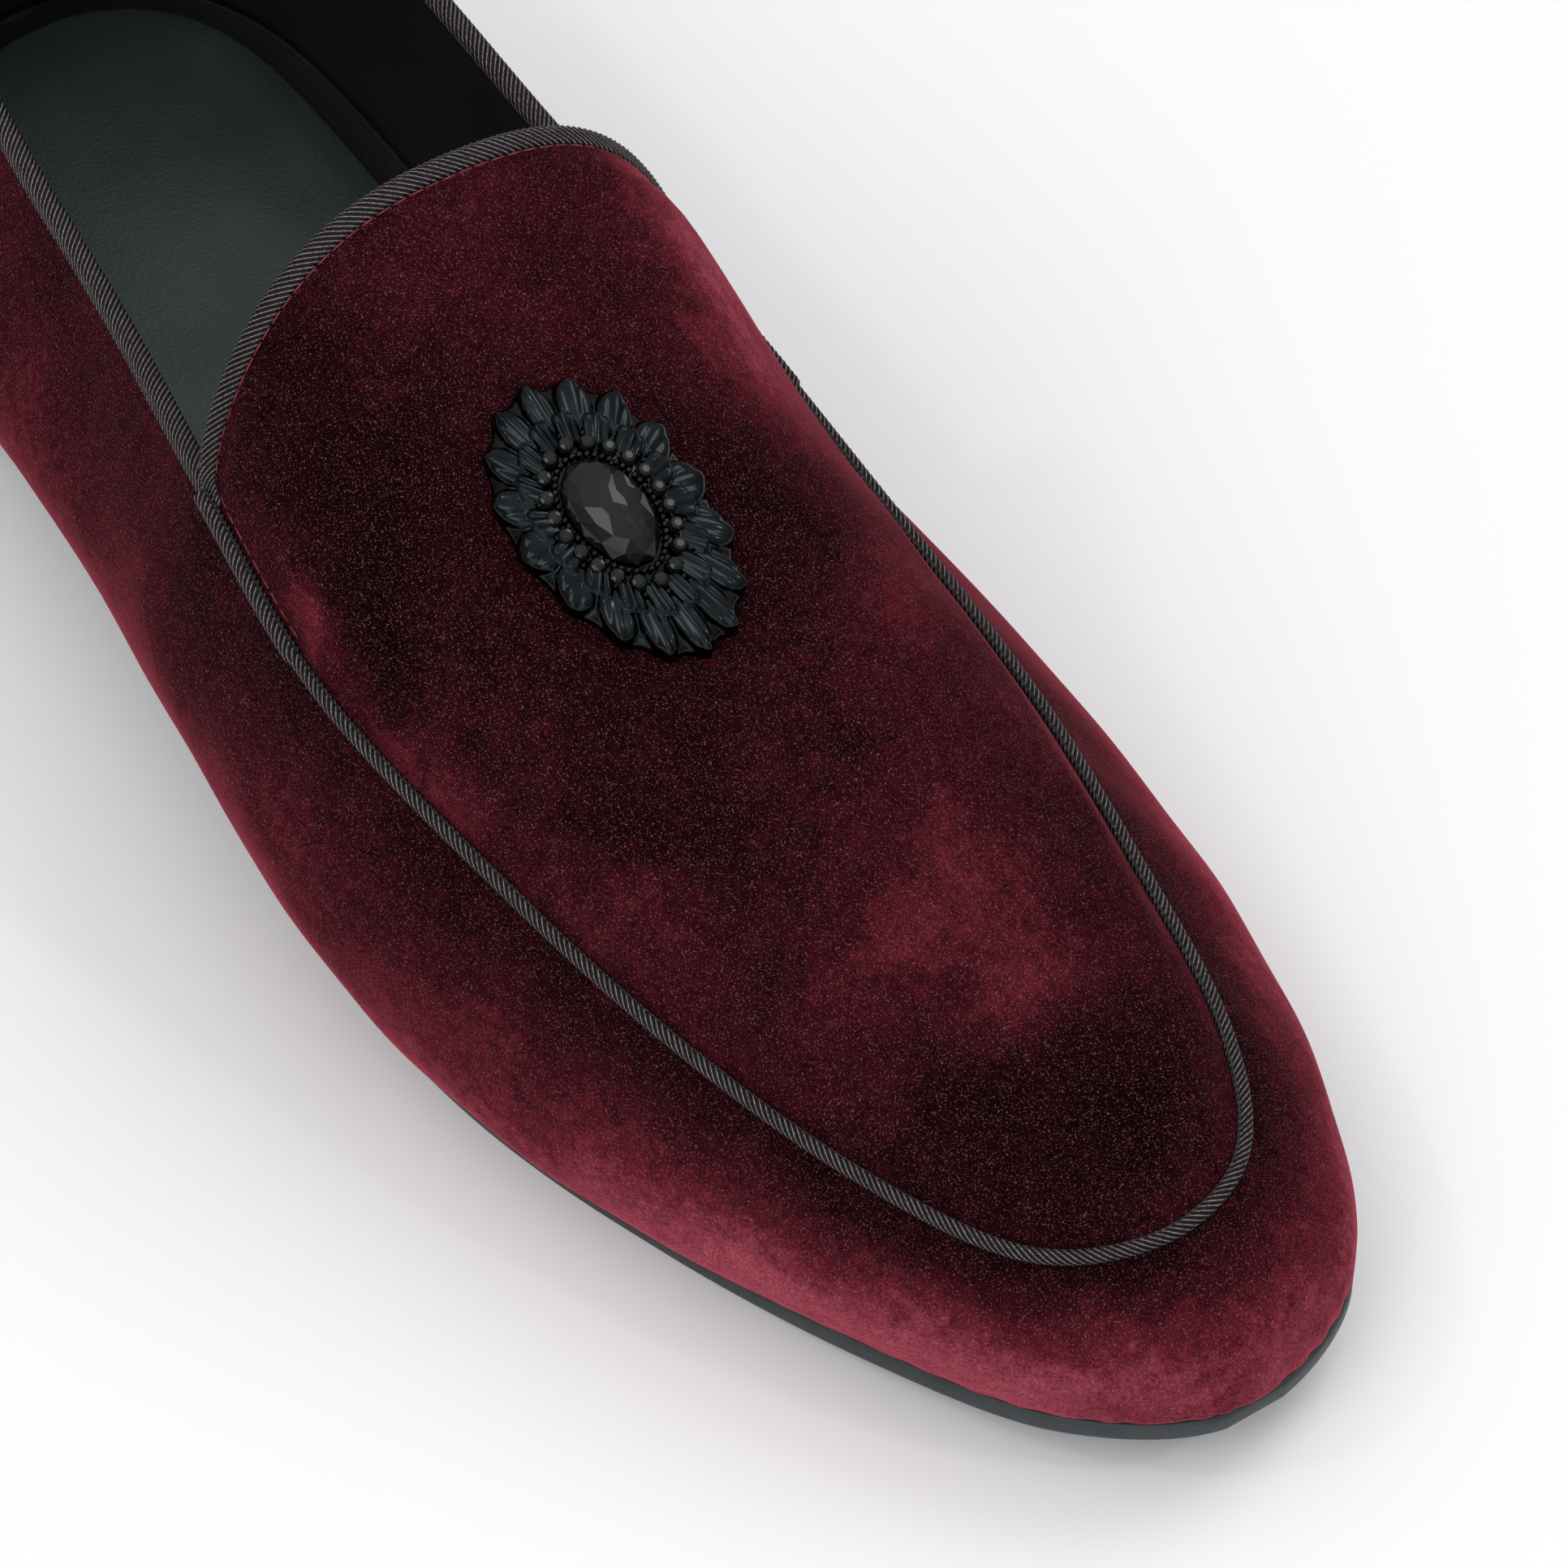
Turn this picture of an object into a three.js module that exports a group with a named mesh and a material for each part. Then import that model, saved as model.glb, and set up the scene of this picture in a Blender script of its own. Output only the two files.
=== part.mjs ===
import * as THREE from 'three';

// A right loafer in millimetres: +X points to the toe, +Y to the inner side of the foot, +Z up.
// Origin: the middle of the shoe on the floor.

// Driving sizes
const LENGTH = 300;
const BALL_WIDTH = 100;
const INSTEP_HEIGHT = 88;
const HEEL_HEIGHT = 11;
const TOE_SPRING = 10.4;
const SOLE_THICKNESS = 3.4;
const SOLE_MARGIN = 0.2;
const HEEL_MARGIN = -0.4;
const TOP_PIECE_MARGIN = -0.9;
const WALL_THICKNESS = 2;
const GAP = 0.3;
const INSOLE_THICKNESS = 2.2;
const TOP_PIECE_THICKNESS = 4;
const HEEL_BREAST = 60;
const TONGUE_LENGTH = 7.4;
const TONGUE_SLOPE = 0.48;
const TONGUE_ROUNDNESS = 2.6;
const CREST_HANDLE = 0.48;
const SEAM_HANDLE = 0.4;
const SHOULDER_FULLNESS = 0.145;
const SHOULDER_START = 0.55;
const APRON_THICKNESS = 0.9;
const APRON_GAP = 0.55;
const APRON_INSET = 2.3;
const APRON_TONGUE_INSET = 4.4;
const PIPING_RADIUS = 1.15;
const TONGUE_PIPING_RADIUS = 1.45;
const BINDING_THICKNESS = 0.8;
const BINDING_GAP = 0.4;
const BINDING_LEG = 3;
const BROOCH_LENGTH = 43;
const BROOCH_WIDTH = 28;
const BROOCH_STATION = 0.8;
const BROOCH_SIDE = -3.5;

// Mesh density
const STEPS_PER_ROW = 4;
const WALL_STEPS = 8;
const APRON_STEPS = 18;
const TONGUE_STEPS = 3;

// The side wall, one row per station round the shoe, outer side first.
// foot: where the wall meets the sole. edge: the topline, or the apron seam from notch to notch.
// x is a percentage of LENGTH from the heel, y of BALL_WIDTH, z of INSTEP_HEIGHT; leans in degrees.
const WALL_COLUMNS = ['foot_x', 'foot_y', 'edge_x', 'edge_y', 'edge_z', 'foot_lean', 'edge_lean'];
const WALL = {
  heel_back: [0.7, -1.5, 2.4, 0, 76.7, 14, 14],
  heel_outer: [3, -21.7, 4.4, -17, 75.2, 15, 14],
  counter_outer: [9.3, -34.6, 10.4, -28, 71.2, 19, 17],
  seat_outer: [20, -42.5, 20.7, -33, 67.2, 33, 19],
  waist_outer: [32.7, -43.6, 32.1, -36.8, 65.7, 38, 20],
  notch_outer: [46, -45.7, 44.3, -42.9, 68.4, 35, 29],
  instep_outer: [56, -48.4, 55.3, -45.3, 62.1, 35, 29],
  ball_outer: [66.5, -45.8, 66.7, -39.2, 52.7, 43, 34.5],
  forefoot_outer: [77.2, -36.7, 76.3, -31.8, 45.3, 45, 41],
  toe_outer: [87.2, -25.3, 85, -22.2, 39.9, 31, 47],
  tip_outer: [95.6, -11.7, 91.6, -10.5, 36.7, 18, 55],
  toe_tip: [99.7, 6.2, 94.2, 4.4, 38.2, 10, 60],
  tip_inner: [97.2, 28.4, 92.7, 19.5, 38.2, 11, 56],
  toe_inner: [89.7, 41.3, 87, 28.9, 38.8, 19.5, 48.5],
  forefoot_inner: [80, 48.4, 78.7, 33, 42.8, 25, 42.5],
  ball_inner: [70, 49.2, 69, 35.7, 48, 28, 38],
  instep_inner: [57.3, 44.3, 56.1, 34.9, 55.2, 34, 32],
  notch_inner: [45.3, 34.2, 44.8, 34.7, 58.5, 36, 12],
  waist_inner: [33.3, 29.4, 32.5, 33, 61.2, 34, 17],
  seat_inner: [20.7, 31.6, 21.1, 31.7, 65, 24, 18],
  counter_inner: [9.3, 29.5, 10.4, 27.5, 70.5, 14, 16],
  heel_inner: [3, 18.3, 4.4, 16.8, 74.8, 14, 14],
};
const STATIONS = Object.keys(WALL);
const NOTCH_OUTER = STATIONS.indexOf('notch_outer');
const TOE_TIP = STATIONS.indexOf('toe_tip');
const NOTCH_INNER = STATIONS.indexOf('notch_inner');

// Underside of the outsole: x as a percentage of LENGTH, z as a share of the heel height or toe spring.
const UNDERSIDE = [
  [0, HEEL_HEIGHT],
  [15, HEEL_HEIGHT],
  [26, HEEL_HEIGHT],
  [37.3, 0.69 * HEEL_HEIGHT],
  [48.3, 0.26 * HEEL_HEIGHT],
  [57.3, 0.03 * HEEL_HEIGHT],
  [62, 0],
  [71.3, 0],
  [77.3, 0.07 * TOE_SPRING],
  [85, 0.28 * TOE_SPRING],
  [93.3, 0.58 * TOE_SPRING],
  [100, TOE_SPRING],
];

// Rise of the apron's crest above its seam, as a percentage of INSTEP_HEIGHT, toe tip to notch.
const CREST_RISE = [0, 3, 7, 12.3, 19, 26, 38.3];

// Smooth steps through a table of x, y pairs that keep level stretches level
function levelCurve(table, x) {
  const last = table.length - 1;
  const clamped = Math.min(Math.max(x, table[0][0]), table[last][0]);
  let row = 0;
  while (row < last - 1 && clamped > table[row + 1][0]) row += 1;
  const secant = (i) => (table[i + 1][1] - table[i][1]) / (table[i + 1][0] - table[i][0]);
  const slope = (i) => {
    if (i === 0) return secant(0);
    if (i === last) return secant(last - 1);
    const before = secant(i - 1);
    const after = secant(i);
    return before * after <= 0 ? 0 : (2 * before * after) / (before + after);
  };
  const width = table[row + 1][0] - table[row][0];
  const t = (clamped - table[row][0]) / width;
  const start = (1 + 2 * t) * (1 - t) * (1 - t) * table[row][1] + t * (1 - t) * (1 - t) * width * slope(row);
  const end = t * t * (3 - 2 * t) * table[row + 1][1] + t * t * (t - 1) * width * slope(row + 1);
  return start + end;
}

function underside(x) {
  return levelCurve(UNDERSIDE, (100 * x) / LENGTH);
}

function seatTop(x) {
  return underside(x) + SOLE_THICKNESS;
}

// Value of one wall column at station u, a closed smooth curve through the rows
function wallColumn(column, u) {
  const c = WALL_COLUMNS.indexOf(column);
  const n = STATIONS.length;
  const i = Math.floor(u);
  const t = u - i;
  const at = (k) => WALL[STATIONS[(((i + k) % n) + n) % n]][c];
  const [a, b, d, e] = [at(-1), at(0), at(1), at(2)];
  return 0.5 * (2 * b + (d - a) * t + (2 * a - 5 * b + 4 * d - e) * t * t + (3 * b - a - 3 * d + e) * t * t * t);
}

function footPoint(u) {
  const x = (wallColumn('foot_x', u) * LENGTH) / 100;
  const y = (wallColumn('foot_y', u) * BALL_WIDTH) / 100;
  return new THREE.Vector3(x, y, seatTop(x) + GAP);
}

function edgePoint(u) {
  const x = (wallColumn('edge_x', u) * LENGTH) / 100;
  const y = (wallColumn('edge_y', u) * BALL_WIDTH) / 100;
  const z = (wallColumn('edge_z', u) * INSTEP_HEIGHT) / 100;
  return new THREE.Vector3(x, y, z);
}

// Level direction pointing away from the shoe at station u
function outward(u) {
  const step = 0.001;
  const ahead = footPoint(u + step);
  const along = ahead.sub(footPoint(u - step));
  return new THREE.Vector3(along.y, -along.x, 0).normalize();
}

function leanDirection(side, degrees) {
  const angle = THREE.MathUtils.degToRad(degrees);
  return side.clone().multiplyScalar(Math.sin(angle)).add(new THREE.Vector3(0, 0, Math.cos(angle)));
}

function bezier(a, b, c, d, t) {
  const s = 1 - t;
  const point = a.clone().multiplyScalar(s * s * s);
  point.addScaledVector(b, 3 * s * s * t);
  point.addScaledVector(c, 3 * s * t * t);
  point.addScaledVector(d, t * t * t);
  return point;
}

// Side wall surface: u goes round the shoe, h from the foot (0) to the edge (1)
function wallPoint(u, h) {
  const foot = footPoint(u);
  const edge = edgePoint(u);
  const side = outward(u);
  const reach = 0.42 * foot.distanceTo(edge);
  const low = foot.clone().addScaledVector(leanDirection(side, wallColumn('foot_lean', u)), reach);
  const high = edge.clone().addScaledVector(leanDirection(side, -wallColumn('edge_lean', u)), -reach);
  return bezier(foot, low, high, edge, h);
}

// Apron section at v, from the toe tip (0) to the notches (1); k runs from outer (-1) to inner (1).
// Towards the notches the inner half is fuller: both handles of its curve grow.
function apronSection(v, k) {
  const outer = TOE_TIP - (TOE_TIP - NOTCH_OUTER) * v;
  const inner = TOE_TIP + (NOTCH_INNER - TOE_TIP) * v;
  const ends = [edgePoint(outer), edgePoint(inner)];
  const rows = CREST_RISE.map((rise, i) => [i / (CREST_RISE.length - 1), rise]);
  const crest = ends[0].clone().add(ends[1]).multiplyScalar(0.5);
  crest.z += (levelCurve(rows, v) * INSTEP_HEIGHT) / 100;
  const across = ends[1].clone().sub(ends[0]);
  across.z = 0;
  const half = across.length() / 2;
  across.normalize();
  const edge = k < 0 ? ends[0] : ends[1];
  const side = across.clone().multiplyScalar(k < 0 ? -1 : 1);
  const lean = wallColumn('edge_lean', k < 0 ? outer : inner);
  const full = k < 0 ? 0 : SHOULDER_FULLNESS * THREE.MathUtils.smoothstep(v, SHOULDER_START, 1);
  const seamReach = (SEAM_HANDLE + full) * crest.distanceTo(edge);
  const low = edge.clone().addScaledVector(leanDirection(side, -lean), seamReach);
  const high = crest.clone().addScaledVector(side, (CREST_HANDLE + full) * half);
  return bezier(crest, high, low, edge, Math.abs(k));
}

// Apron and tongue surface: past v = 1 each line of the last section carries on up and back to the round end
function apronPoint(v, k) {
  if (v <= 1) return apronSection(v, k);
  const reach = (v - 1) * TONGUE_LENGTH * Math.sqrt(Math.max(1 - Math.abs(k) ** TONGUE_ROUNDNESS, 0));
  const point = apronSection(1, k);
  point.x -= reach;
  point.z += reach * TONGUE_SLOPE;
  return point;
}

// Spacing of the apron's lines, a little closer near its edges
function acrossAt(m) {
  const even = (2 * m) / APRON_STEPS - 1;
  return 0.6 * even + 0.4 * Math.sin((Math.PI / 2) * even);
}

function apronNormal(v, k) {
  const step = 0.004;
  const back = v > 1 - 2 * step && v <= 1 ? 0 : step;
  const along = apronPoint(v + back, k).sub(apronPoint(v - step, k));
  const across = apronPoint(v, k + step).sub(apronPoint(v, k - step));
  return across.cross(along).normalize();
}

// Mesh gathering
class Skin {
  constructor() {
    this.points = [];
    this.faces = [];
  }

  add(point) {
    this.points.push(point);
    return this.points.length - 1;
  }

  quad(a, b, c, d) {
    if (a !== b && b !== c && a !== c) this.faces.push([a, b, c]);
    if (a !== c && c !== d && a !== d) this.faces.push([a, c, d]);
  }

  normals() {
    const sums = this.points.map(() => new THREE.Vector3());
    for (const [a, b, c] of this.faces) {
      const ab = this.points[b].clone().sub(this.points[a]);
      const ac = this.points[c].clone().sub(this.points[a]);
      const normal = ab.cross(ac);
      for (const i of [a, b, c]) sums[i].add(normal);
    }
    return sums.map((sum) => sum.normalize());
  }

  geometry() {
    const geometry = new THREE.BufferGeometry();
    const flat = this.points.flatMap((p) => [p.x, p.y, p.z]);
    geometry.setAttribute('position', new THREE.Float32BufferAttribute(flat, 3));
    geometry.setIndex(this.faces.flat());
    geometry.computeVertexNormals();
    return geometry;
  }
}

// Closed solid from a grid of top points and the grid below it
function slab(top, bottom) {
  const skin = new Skin();
  const rows = top.length;
  const columns = top[0].length;
  const upper = top.map((row) => row.map((p) => skin.add(p)));
  const lower = bottom.map((row) => row.map((p) => skin.add(p)));
  for (let i = 0; i + 1 < rows; i += 1) {
    for (let j = 0; j + 1 < columns; j += 1) {
      skin.quad(upper[i][j], upper[i][j + 1], upper[i + 1][j + 1], upper[i + 1][j]);
      skin.quad(lower[i][j], lower[i + 1][j], lower[i + 1][j + 1], lower[i][j + 1]);
    }
    skin.quad(upper[i][0], upper[i + 1][0], lower[i + 1][0], lower[i][0]);
    skin.quad(upper[i + 1][columns - 1], upper[i][columns - 1], lower[i][columns - 1], lower[i + 1][columns - 1]);
  }
  for (let j = 0; j + 1 < columns; j += 1) {
    skin.quad(upper[0][j + 1], upper[0][j], lower[0][j], lower[0][j + 1]);
    skin.quad(upper[rows - 1][j], upper[rows - 1][j + 1], lower[rows - 1][j + 1], lower[rows - 1][j]);
  }
  return skin.geometry();
}

// Closed solid from rings of equal length, each ring anticlockwise seen against the travel
function sweep(rings) {
  const skin = new Skin();
  const ids = rings.map((ring) => ring.map((p) => skin.add(p)));
  const count = rings[0].length;
  for (let i = 0; i + 1 < rings.length; i += 1) {
    for (let j = 0; j < count; j += 1) {
      const k = (j + 1) % count;
      skin.quad(ids[i][j], ids[i][k], ids[i + 1][k], ids[i + 1][j]);
    }
  }
  return { skin, ids };
}

function capFan(skin, ring, reversed) {
  const centre = new THREE.Vector3();
  for (const id of ring) centre.addScaledVector(skin.points[id], 1 / ring.length);
  const middle = skin.add(centre);
  for (let j = 0; j < ring.length; j += 1) {
    const k = (j + 1) % ring.length;
    skin.faces.push(reversed ? [middle, ring[k], ring[j]] : [middle, ring[j], ring[k]]);
  }
}

// Half outlines of the sole at x, moved outwards from the foot line by margin
function outlineAt(t, margin) {
  const tip = footPoint(TOE_TIP).x + margin;
  const back = footPoint(0).x - margin;
  const x = back + (tip - back) * t;
  const side = (inner) => {
    let low = inner ? TOE_TIP : 0;
    let high = inner ? STATIONS.length : TOE_TIP;
    let y = 0;
    for (let i = 0; i < 50; i += 1) {
      const mid = (low + high) / 2;
      const point = footPoint(mid).addScaledVector(outward(mid), margin);
      y = point.y;
      if (point.x < x === inner) high = mid;
      else low = mid;
    }
    return y;
  };
  return { x, outer: side(false), inner: side(true) };
}

// Plate with the sole's outline between two heights given by functions of x
function plate(margin, from, to, rows, columns, low, high) {
  const top = [];
  const bottom = [];
  for (let i = 0; i <= rows; i += 1) {
    const even = i / rows;
    const eased = 0.5 - 0.5 * Math.cos(Math.PI * even);
    const t = to - (to - from) * (0.35 * even + 0.65 * eased);
    const { x, outer, inner } = outlineAt(Math.min(Math.max(t, 0.0008), 0.9992), margin);
    const line = [];
    for (let j = 0; j <= columns; j += 1) line.push(outer + ((inner - outer) * j) / columns);
    top.push(line.map((y) => new THREE.Vector3(x, y, high(x))));
    bottom.push(line.map((y) => new THREE.Vector3(x, y, low(x))));
  }
  return slab(top, bottom);
}

// Upper: wall, apron and tongue as one hollow solid, open at the collar and underneath
function makeUpper() {
  const skin = new Skin();
  const seamSteps = (NOTCH_INNER - NOTCH_OUTER) * STEPS_PER_ROW;
  const allSteps = STATIONS.length * STEPS_PER_ROW;
  const half = seamSteps / 2;
  const columns = [];
  for (let c = 0; c < allSteps; c += 1) {
    const u = NOTCH_OUTER + c / STEPS_PER_ROW;
    const column = [];
    for (let j = 0; j <= WALL_STEPS; j += 1) column.push(skin.add(wallPoint(u, j / WALL_STEPS)));
    columns.push(column);
  }
  for (let c = 0; c < allSteps; c += 1) {
    const next = columns[(c + 1) % allSteps];
    for (let j = 0; j < WALL_STEPS; j += 1) skin.quad(columns[c][j], next[j], next[j + 1], columns[c][j + 1]);
  }
  const rows = [Array(APRON_STEPS + 1).fill(columns[half][WALL_STEPS])];
  for (let i = 1; i <= half + TONGUE_STEPS; i += 1) {
    const v = i <= half ? i / half : 1 + (i - half) / TONGUE_STEPS;
    const end = Math.min(i, half);
    const row = [columns[half - end][WALL_STEPS]];
    for (let m = 1; m < APRON_STEPS; m += 1) row.push(skin.add(apronPoint(v, acrossAt(m))));
    row.push(columns[half + end][WALL_STEPS]);
    rows.push(row);
  }
  for (let i = 0; i + 1 < rows.length; i += 1) {
    for (let m = 0; m < APRON_STEPS; m += 1) skin.quad(rows[i][m], rows[i][m + 1], rows[i + 1][m + 1], rows[i + 1][m]);
  }
  const collar = [];
  for (let c = seamSteps; c <= allSteps; c += 1) collar.push(columns[c % allSteps][WALL_STEPS]);
  const notch = collar.length - 1;
  collar.push(...rows[rows.length - 1].slice(1, APRON_STEPS));
  const normals = skin.normals();
  const seam = [];
  for (let c = 0; c <= seamSteps; c += 1) seam.push(columns[c][WALL_STEPS]);
  const read = (id) => ({ point: skin.points[id].clone(), normal: normals[id].clone() });
  const lines = { seam: seam.map(read), collar: collar.map(read), notch };
  const count = skin.points.length;
  const outerFaces = skin.faces.slice();
  for (let i = 0; i < count; i += 1) skin.add(skin.points[i].clone().addScaledVector(normals[i], -WALL_THICKNESS));
  for (const [a, b, c] of outerFaces) skin.faces.push([a + count, c + count, b + count]);
  for (let c = 0; c < allSteps; c += 1) {
    const here = columns[c][0];
    const next = columns[(c + 1) % allSteps][0];
    skin.quad(next, here, here + count, next + count);
  }
  for (let p = 0; p < collar.length; p += 1) {
    const here = collar[p];
    const next = collar[(p + 1) % collar.length];
    skin.quad(here, next, next + count, here + count);
  }
  return { geometry: skin.geometry(), lines };
}

// Round bead carried along a line of points with surface normals
function makeBead(line, radiusAt) {
  const sides = 8;
  const rings = line.map(({ point, normal }, i) => {
    const ahead = line[Math.min(i + 1, line.length - 1)].point;
    const behind = line[Math.max(i - 1, 0)].point;
    const along = ahead.clone().sub(behind).normalize();
    const across = along.clone().cross(normal).normalize();
    const up = across.clone().cross(along);
    const radius = radiusAt(i);
    const centre = point.clone().addScaledVector(normal, radius + GAP);
    const ring = [];
    for (let s = 0; s < sides; s += 1) {
      const angle = (2 * Math.PI * s) / sides;
      ring.push(centre.clone().addScaledVector(across, radius * Math.cos(angle))
        .addScaledVector(up, -radius * Math.sin(angle)));
    }
    return ring;
  });
  const { skin, ids } = sweep(rings);
  capFan(skin, ids[0], true);
  capFan(skin, ids[ids.length - 1], false);
  return skin.geometry();
}

// Folded tape over an edge: a channel section carried along the edge line
function makeBinding(line) {
  const g = BINDING_GAP;
  const t = BINDING_THICKNESS;
  const w = WALL_THICKNESS;
  const outer = [[-BINDING_LEG, g + 0.8 * t], [0.2, g + t], [g + 0.8 * t, 0.35], [g + t, -w / 2]];
  const mirror = outer.slice(0, 3).reverse().map(([e, n]) => [e, -w - n]);
  const inner = [[-BINDING_LEG, -w - g], [g, -w - g], [g, g], [-BINDING_LEG, g]];
  const profile = [...outer, ...mirror, ...inner].reverse();
  const rings = line.map(({ point, normal }, i) => {
    const ahead = line[Math.min(i + 1, line.length - 1)].point;
    const behind = line[Math.max(i - 1, 0)].point;
    const along = ahead.clone().sub(behind).normalize();
    const past = normal.clone().cross(along).normalize();
    const face = along.clone().cross(past);
    return profile.map(([e, n]) => point.clone().addScaledVector(past, e).addScaledVector(face, n));
  });
  const { skin, ids } = sweep(rings);
  const strips = [[10, 9, 1, 0], [9, 8, 7, 1], [7, 6, 5, 1], [5, 2, 1, 1], [5, 4, 3, 2]];
  for (const strip of strips) {
    skin.quad(...strip.map((s) => ids[0][s]));
    skin.quad(...strip.map((s) => ids[ids.length - 1][s]).reverse());
  }
  return skin.geometry();
}

function distanceToLine(point, line) {
  let best = Infinity;
  const closest = new THREE.Vector3();
  for (let i = 0; i + 1 < line.length; i += 1) {
    new THREE.Line3(line[i].point, line[i + 1].point).closestPointToPoint(point, true, closest);
    best = Math.min(best, closest.distanceTo(point));
  }
  return best;
}

// Apron panel: the apron surface raised by a gap, kept clear of the seam and of the tongue's tape
function makeApron(lines) {
  const tongue = [...lines.collar.slice(lines.notch), lines.collar[0]];
  const clear = (point) => distanceToLine(point, lines.seam) >= APRON_INSET
    && distanceToLine(point, tongue) >= APRON_TONGUE_INSET;
  const limit = (v, side) => {
    for (let k = 1; k > 0; k -= 0.01) if (clear(apronPoint(v, side * k))) return side * k;
    return 0;
  };
  const stations = [];
  for (let v = 0; v < 2; v += 0.004) {
    const from = limit(v, -1);
    const to = limit(v, 1);
    if (to - from > (v > 1 ? 1.5 : 0.5)) stations.push(v);
  }
  const first = stations[0];
  const last = stations[stations.length - 1];
  const front = 19;
  const rows = front + 2;
  const top = [];
  const bottom = [];
  for (let i = 0; i <= rows; i += 1) {
    const v = i <= front ? first + (1 - first) * (i / front) ** 1.2 : 1 + ((last - 1) * (i - front)) / (rows - front);
    const from = limit(v, -1);
    const to = limit(v, 1);
    const line = [];
    for (let j = 0; j <= 16; j += 1) line.push(from + ((to - from) * j) / 16);
    const raised = (k, height) => apronPoint(v, k).addScaledVector(apronNormal(v, k), height);
    top.push(line.map((k) => raised(k, APRON_GAP + APRON_THICKNESS)));
    bottom.push(line.map((k) => raised(k, APRON_GAP)));
  }
  return slab(top, bottom);
}

// Brooch pieces are domes over an oval on the apron; rho is 0 in the middle and 1 at the rim
function makeDome(lengthwise, crosswise, lobes, depth, floor, height, rings, around) {
  const alongStep = apronPoint(BROOCH_STATION + 0.01, 0).distanceTo(apronPoint(BROOCH_STATION - 0.01, 0)) / 0.02;
  const acrossStep = apronPoint(BROOCH_STATION, 0.05).distanceTo(apronPoint(BROOCH_STATION, -0.05)) / 0.1;
  const place = (rho, angle, lift) => {
    const scale = rho * (1 + depth * Math.cos(lobes * angle) * rho);
    const v = BROOCH_STATION - (0.5 * lengthwise * scale * Math.cos(angle)) / alongStep;
    const k = (BROOCH_SIDE + 0.5 * crosswise * scale * Math.sin(angle)) / acrossStep;
    return apronPoint(v, k).addScaledVector(apronNormal(v, k), lift);
  };
  const skin = new Skin();
  const levels = [];
  for (let r = 1; r <= rings; r += 1) {
    const rho = r / rings;
    const ring = [];
    for (let s = 0; s < around; s += 1) ring.push(skin.add(place(rho, (2 * Math.PI * s) / around, height(rho))));
    levels.push(ring);
  }
  const under = [];
  for (let r = rings; r >= 1; r -= 2) {
    const ring = [];
    for (let s = 0; s < around; s += 1) ring.push(skin.add(place(r / rings, (2 * Math.PI * s) / around, floor)));
    under.push(ring);
  }
  const loops = [...levels, ...under];
  for (let i = 0; i + 1 < loops.length; i += 1) {
    for (let s = 0; s < around; s += 1) {
      const n = (s + 1) % around;
      skin.quad(loops[i][s], loops[i + 1][s], loops[i + 1][n], loops[i][n]);
    }
  }
  const peak = skin.add(place(0, 0, height(0)));
  const base = skin.add(place(0, 0, floor));
  const inmost = loops[loops.length - 1];
  for (let s = 0; s < around; s += 1) {
    const n = (s + 1) % around;
    skin.faces.push([peak, levels[0][s], levels[0][n]]);
    skin.faces.push([base, inmost[n], inmost[s]]);
  }
  return skin.geometry();
}

const group = new THREE.Group();
const bodies = new THREE.Group();

function addMesh(name, geometry, colour, roughness, metalness = 0) {
  const material = new THREE.MeshStandardMaterial({ color: colour, roughness, metalness });
  material.name = name;
  const mesh = new THREE.Mesh(geometry, material);
  mesh.name = name;
  bodies.add(mesh);
}

const breast = HEEL_BREAST / LENGTH;
const { geometry: upperGeometry, lines } = makeUpper();
addMesh('upper', upperGeometry, 0x4a0f1c, 0.9);
addMesh('outsole', plate(SOLE_MARGIN, 0, 1, 48, 4, underside, seatTop), 0x262c2f, 0.6);
addMesh('heel_block', plate(HEEL_MARGIN, 0, breast, 16, 3, () => TOP_PIECE_THICKNESS, () => HEEL_HEIGHT), 0x262c2f, 0.6);
addMesh('heel_top_piece', plate(TOP_PIECE_MARGIN, 0, breast - 0.002, 16, 3, () => 0, () => TOP_PIECE_THICKNESS), 0x1b1d1e, 0.8);
const insoleMargin = -WALL_THICKNESS - 0.9;
const insoleLow = (x) => seatTop(x) + GAP;
const insoleHigh = (x) => insoleLow(x) + INSOLE_THICKNESS;
addMesh('insole', plate(insoleMargin, 0, 1, 40, 4, insoleLow, insoleHigh), 0x222b2b, 0.55);
addMesh('apron', makeApron(lines), 0x4a0f1c, 0.9);
const joint = STEPS_PER_ROW;
const thickness = (i) => (i <= joint || i >= lines.seam.length - 1 - joint ? TONGUE_PIPING_RADIUS : PIPING_RADIUS);
addMesh('apron_piping', makeBead(lines.seam, thickness), 0x352c30, 0.8);
addMesh('topline_binding', makeBinding(lines.collar.slice(1, lines.notch)), 0x352c30, 0.8);
addMesh('tongue_binding', makeBinding(lines.collar.slice(lines.notch + 1)), 0x352c30, 0.8);
const clearance = APRON_GAP + APRON_THICKNESS + GAP;
const plateHeight = (rho) => clearance + 1.2 + 3 * Math.sqrt(Math.max(1 - rho ** 2.4, 0));
addMesh('brooch_plate', makeDome(BROOCH_LENGTH, BROOCH_WIDTH, 16, 0.03, clearance, plateHeight, 6, 48), 0x14181a, 0.35, 0.6);
const stoneFloor = clearance + 4.5;
const stoneHeight = (rho) => stoneFloor + (rho > 0.6 ? 0.8 + 6 * (1 - rho) : 3.2);
addMesh('brooch_stone', makeDome(17, 12, 6, 0, stoneFloor, stoneHeight, 5, 12), 0x0c0e10, 0.1, 0.2);

const box = new THREE.Box3().setFromObject(bodies);
const middle = box.getCenter(new THREE.Vector3());
for (const mesh of [...bodies.children]) {
  mesh.geometry.translate(-middle.x, -middle.y, -box.min.z);
  group.add(mesh);
}

export default group;
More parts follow.
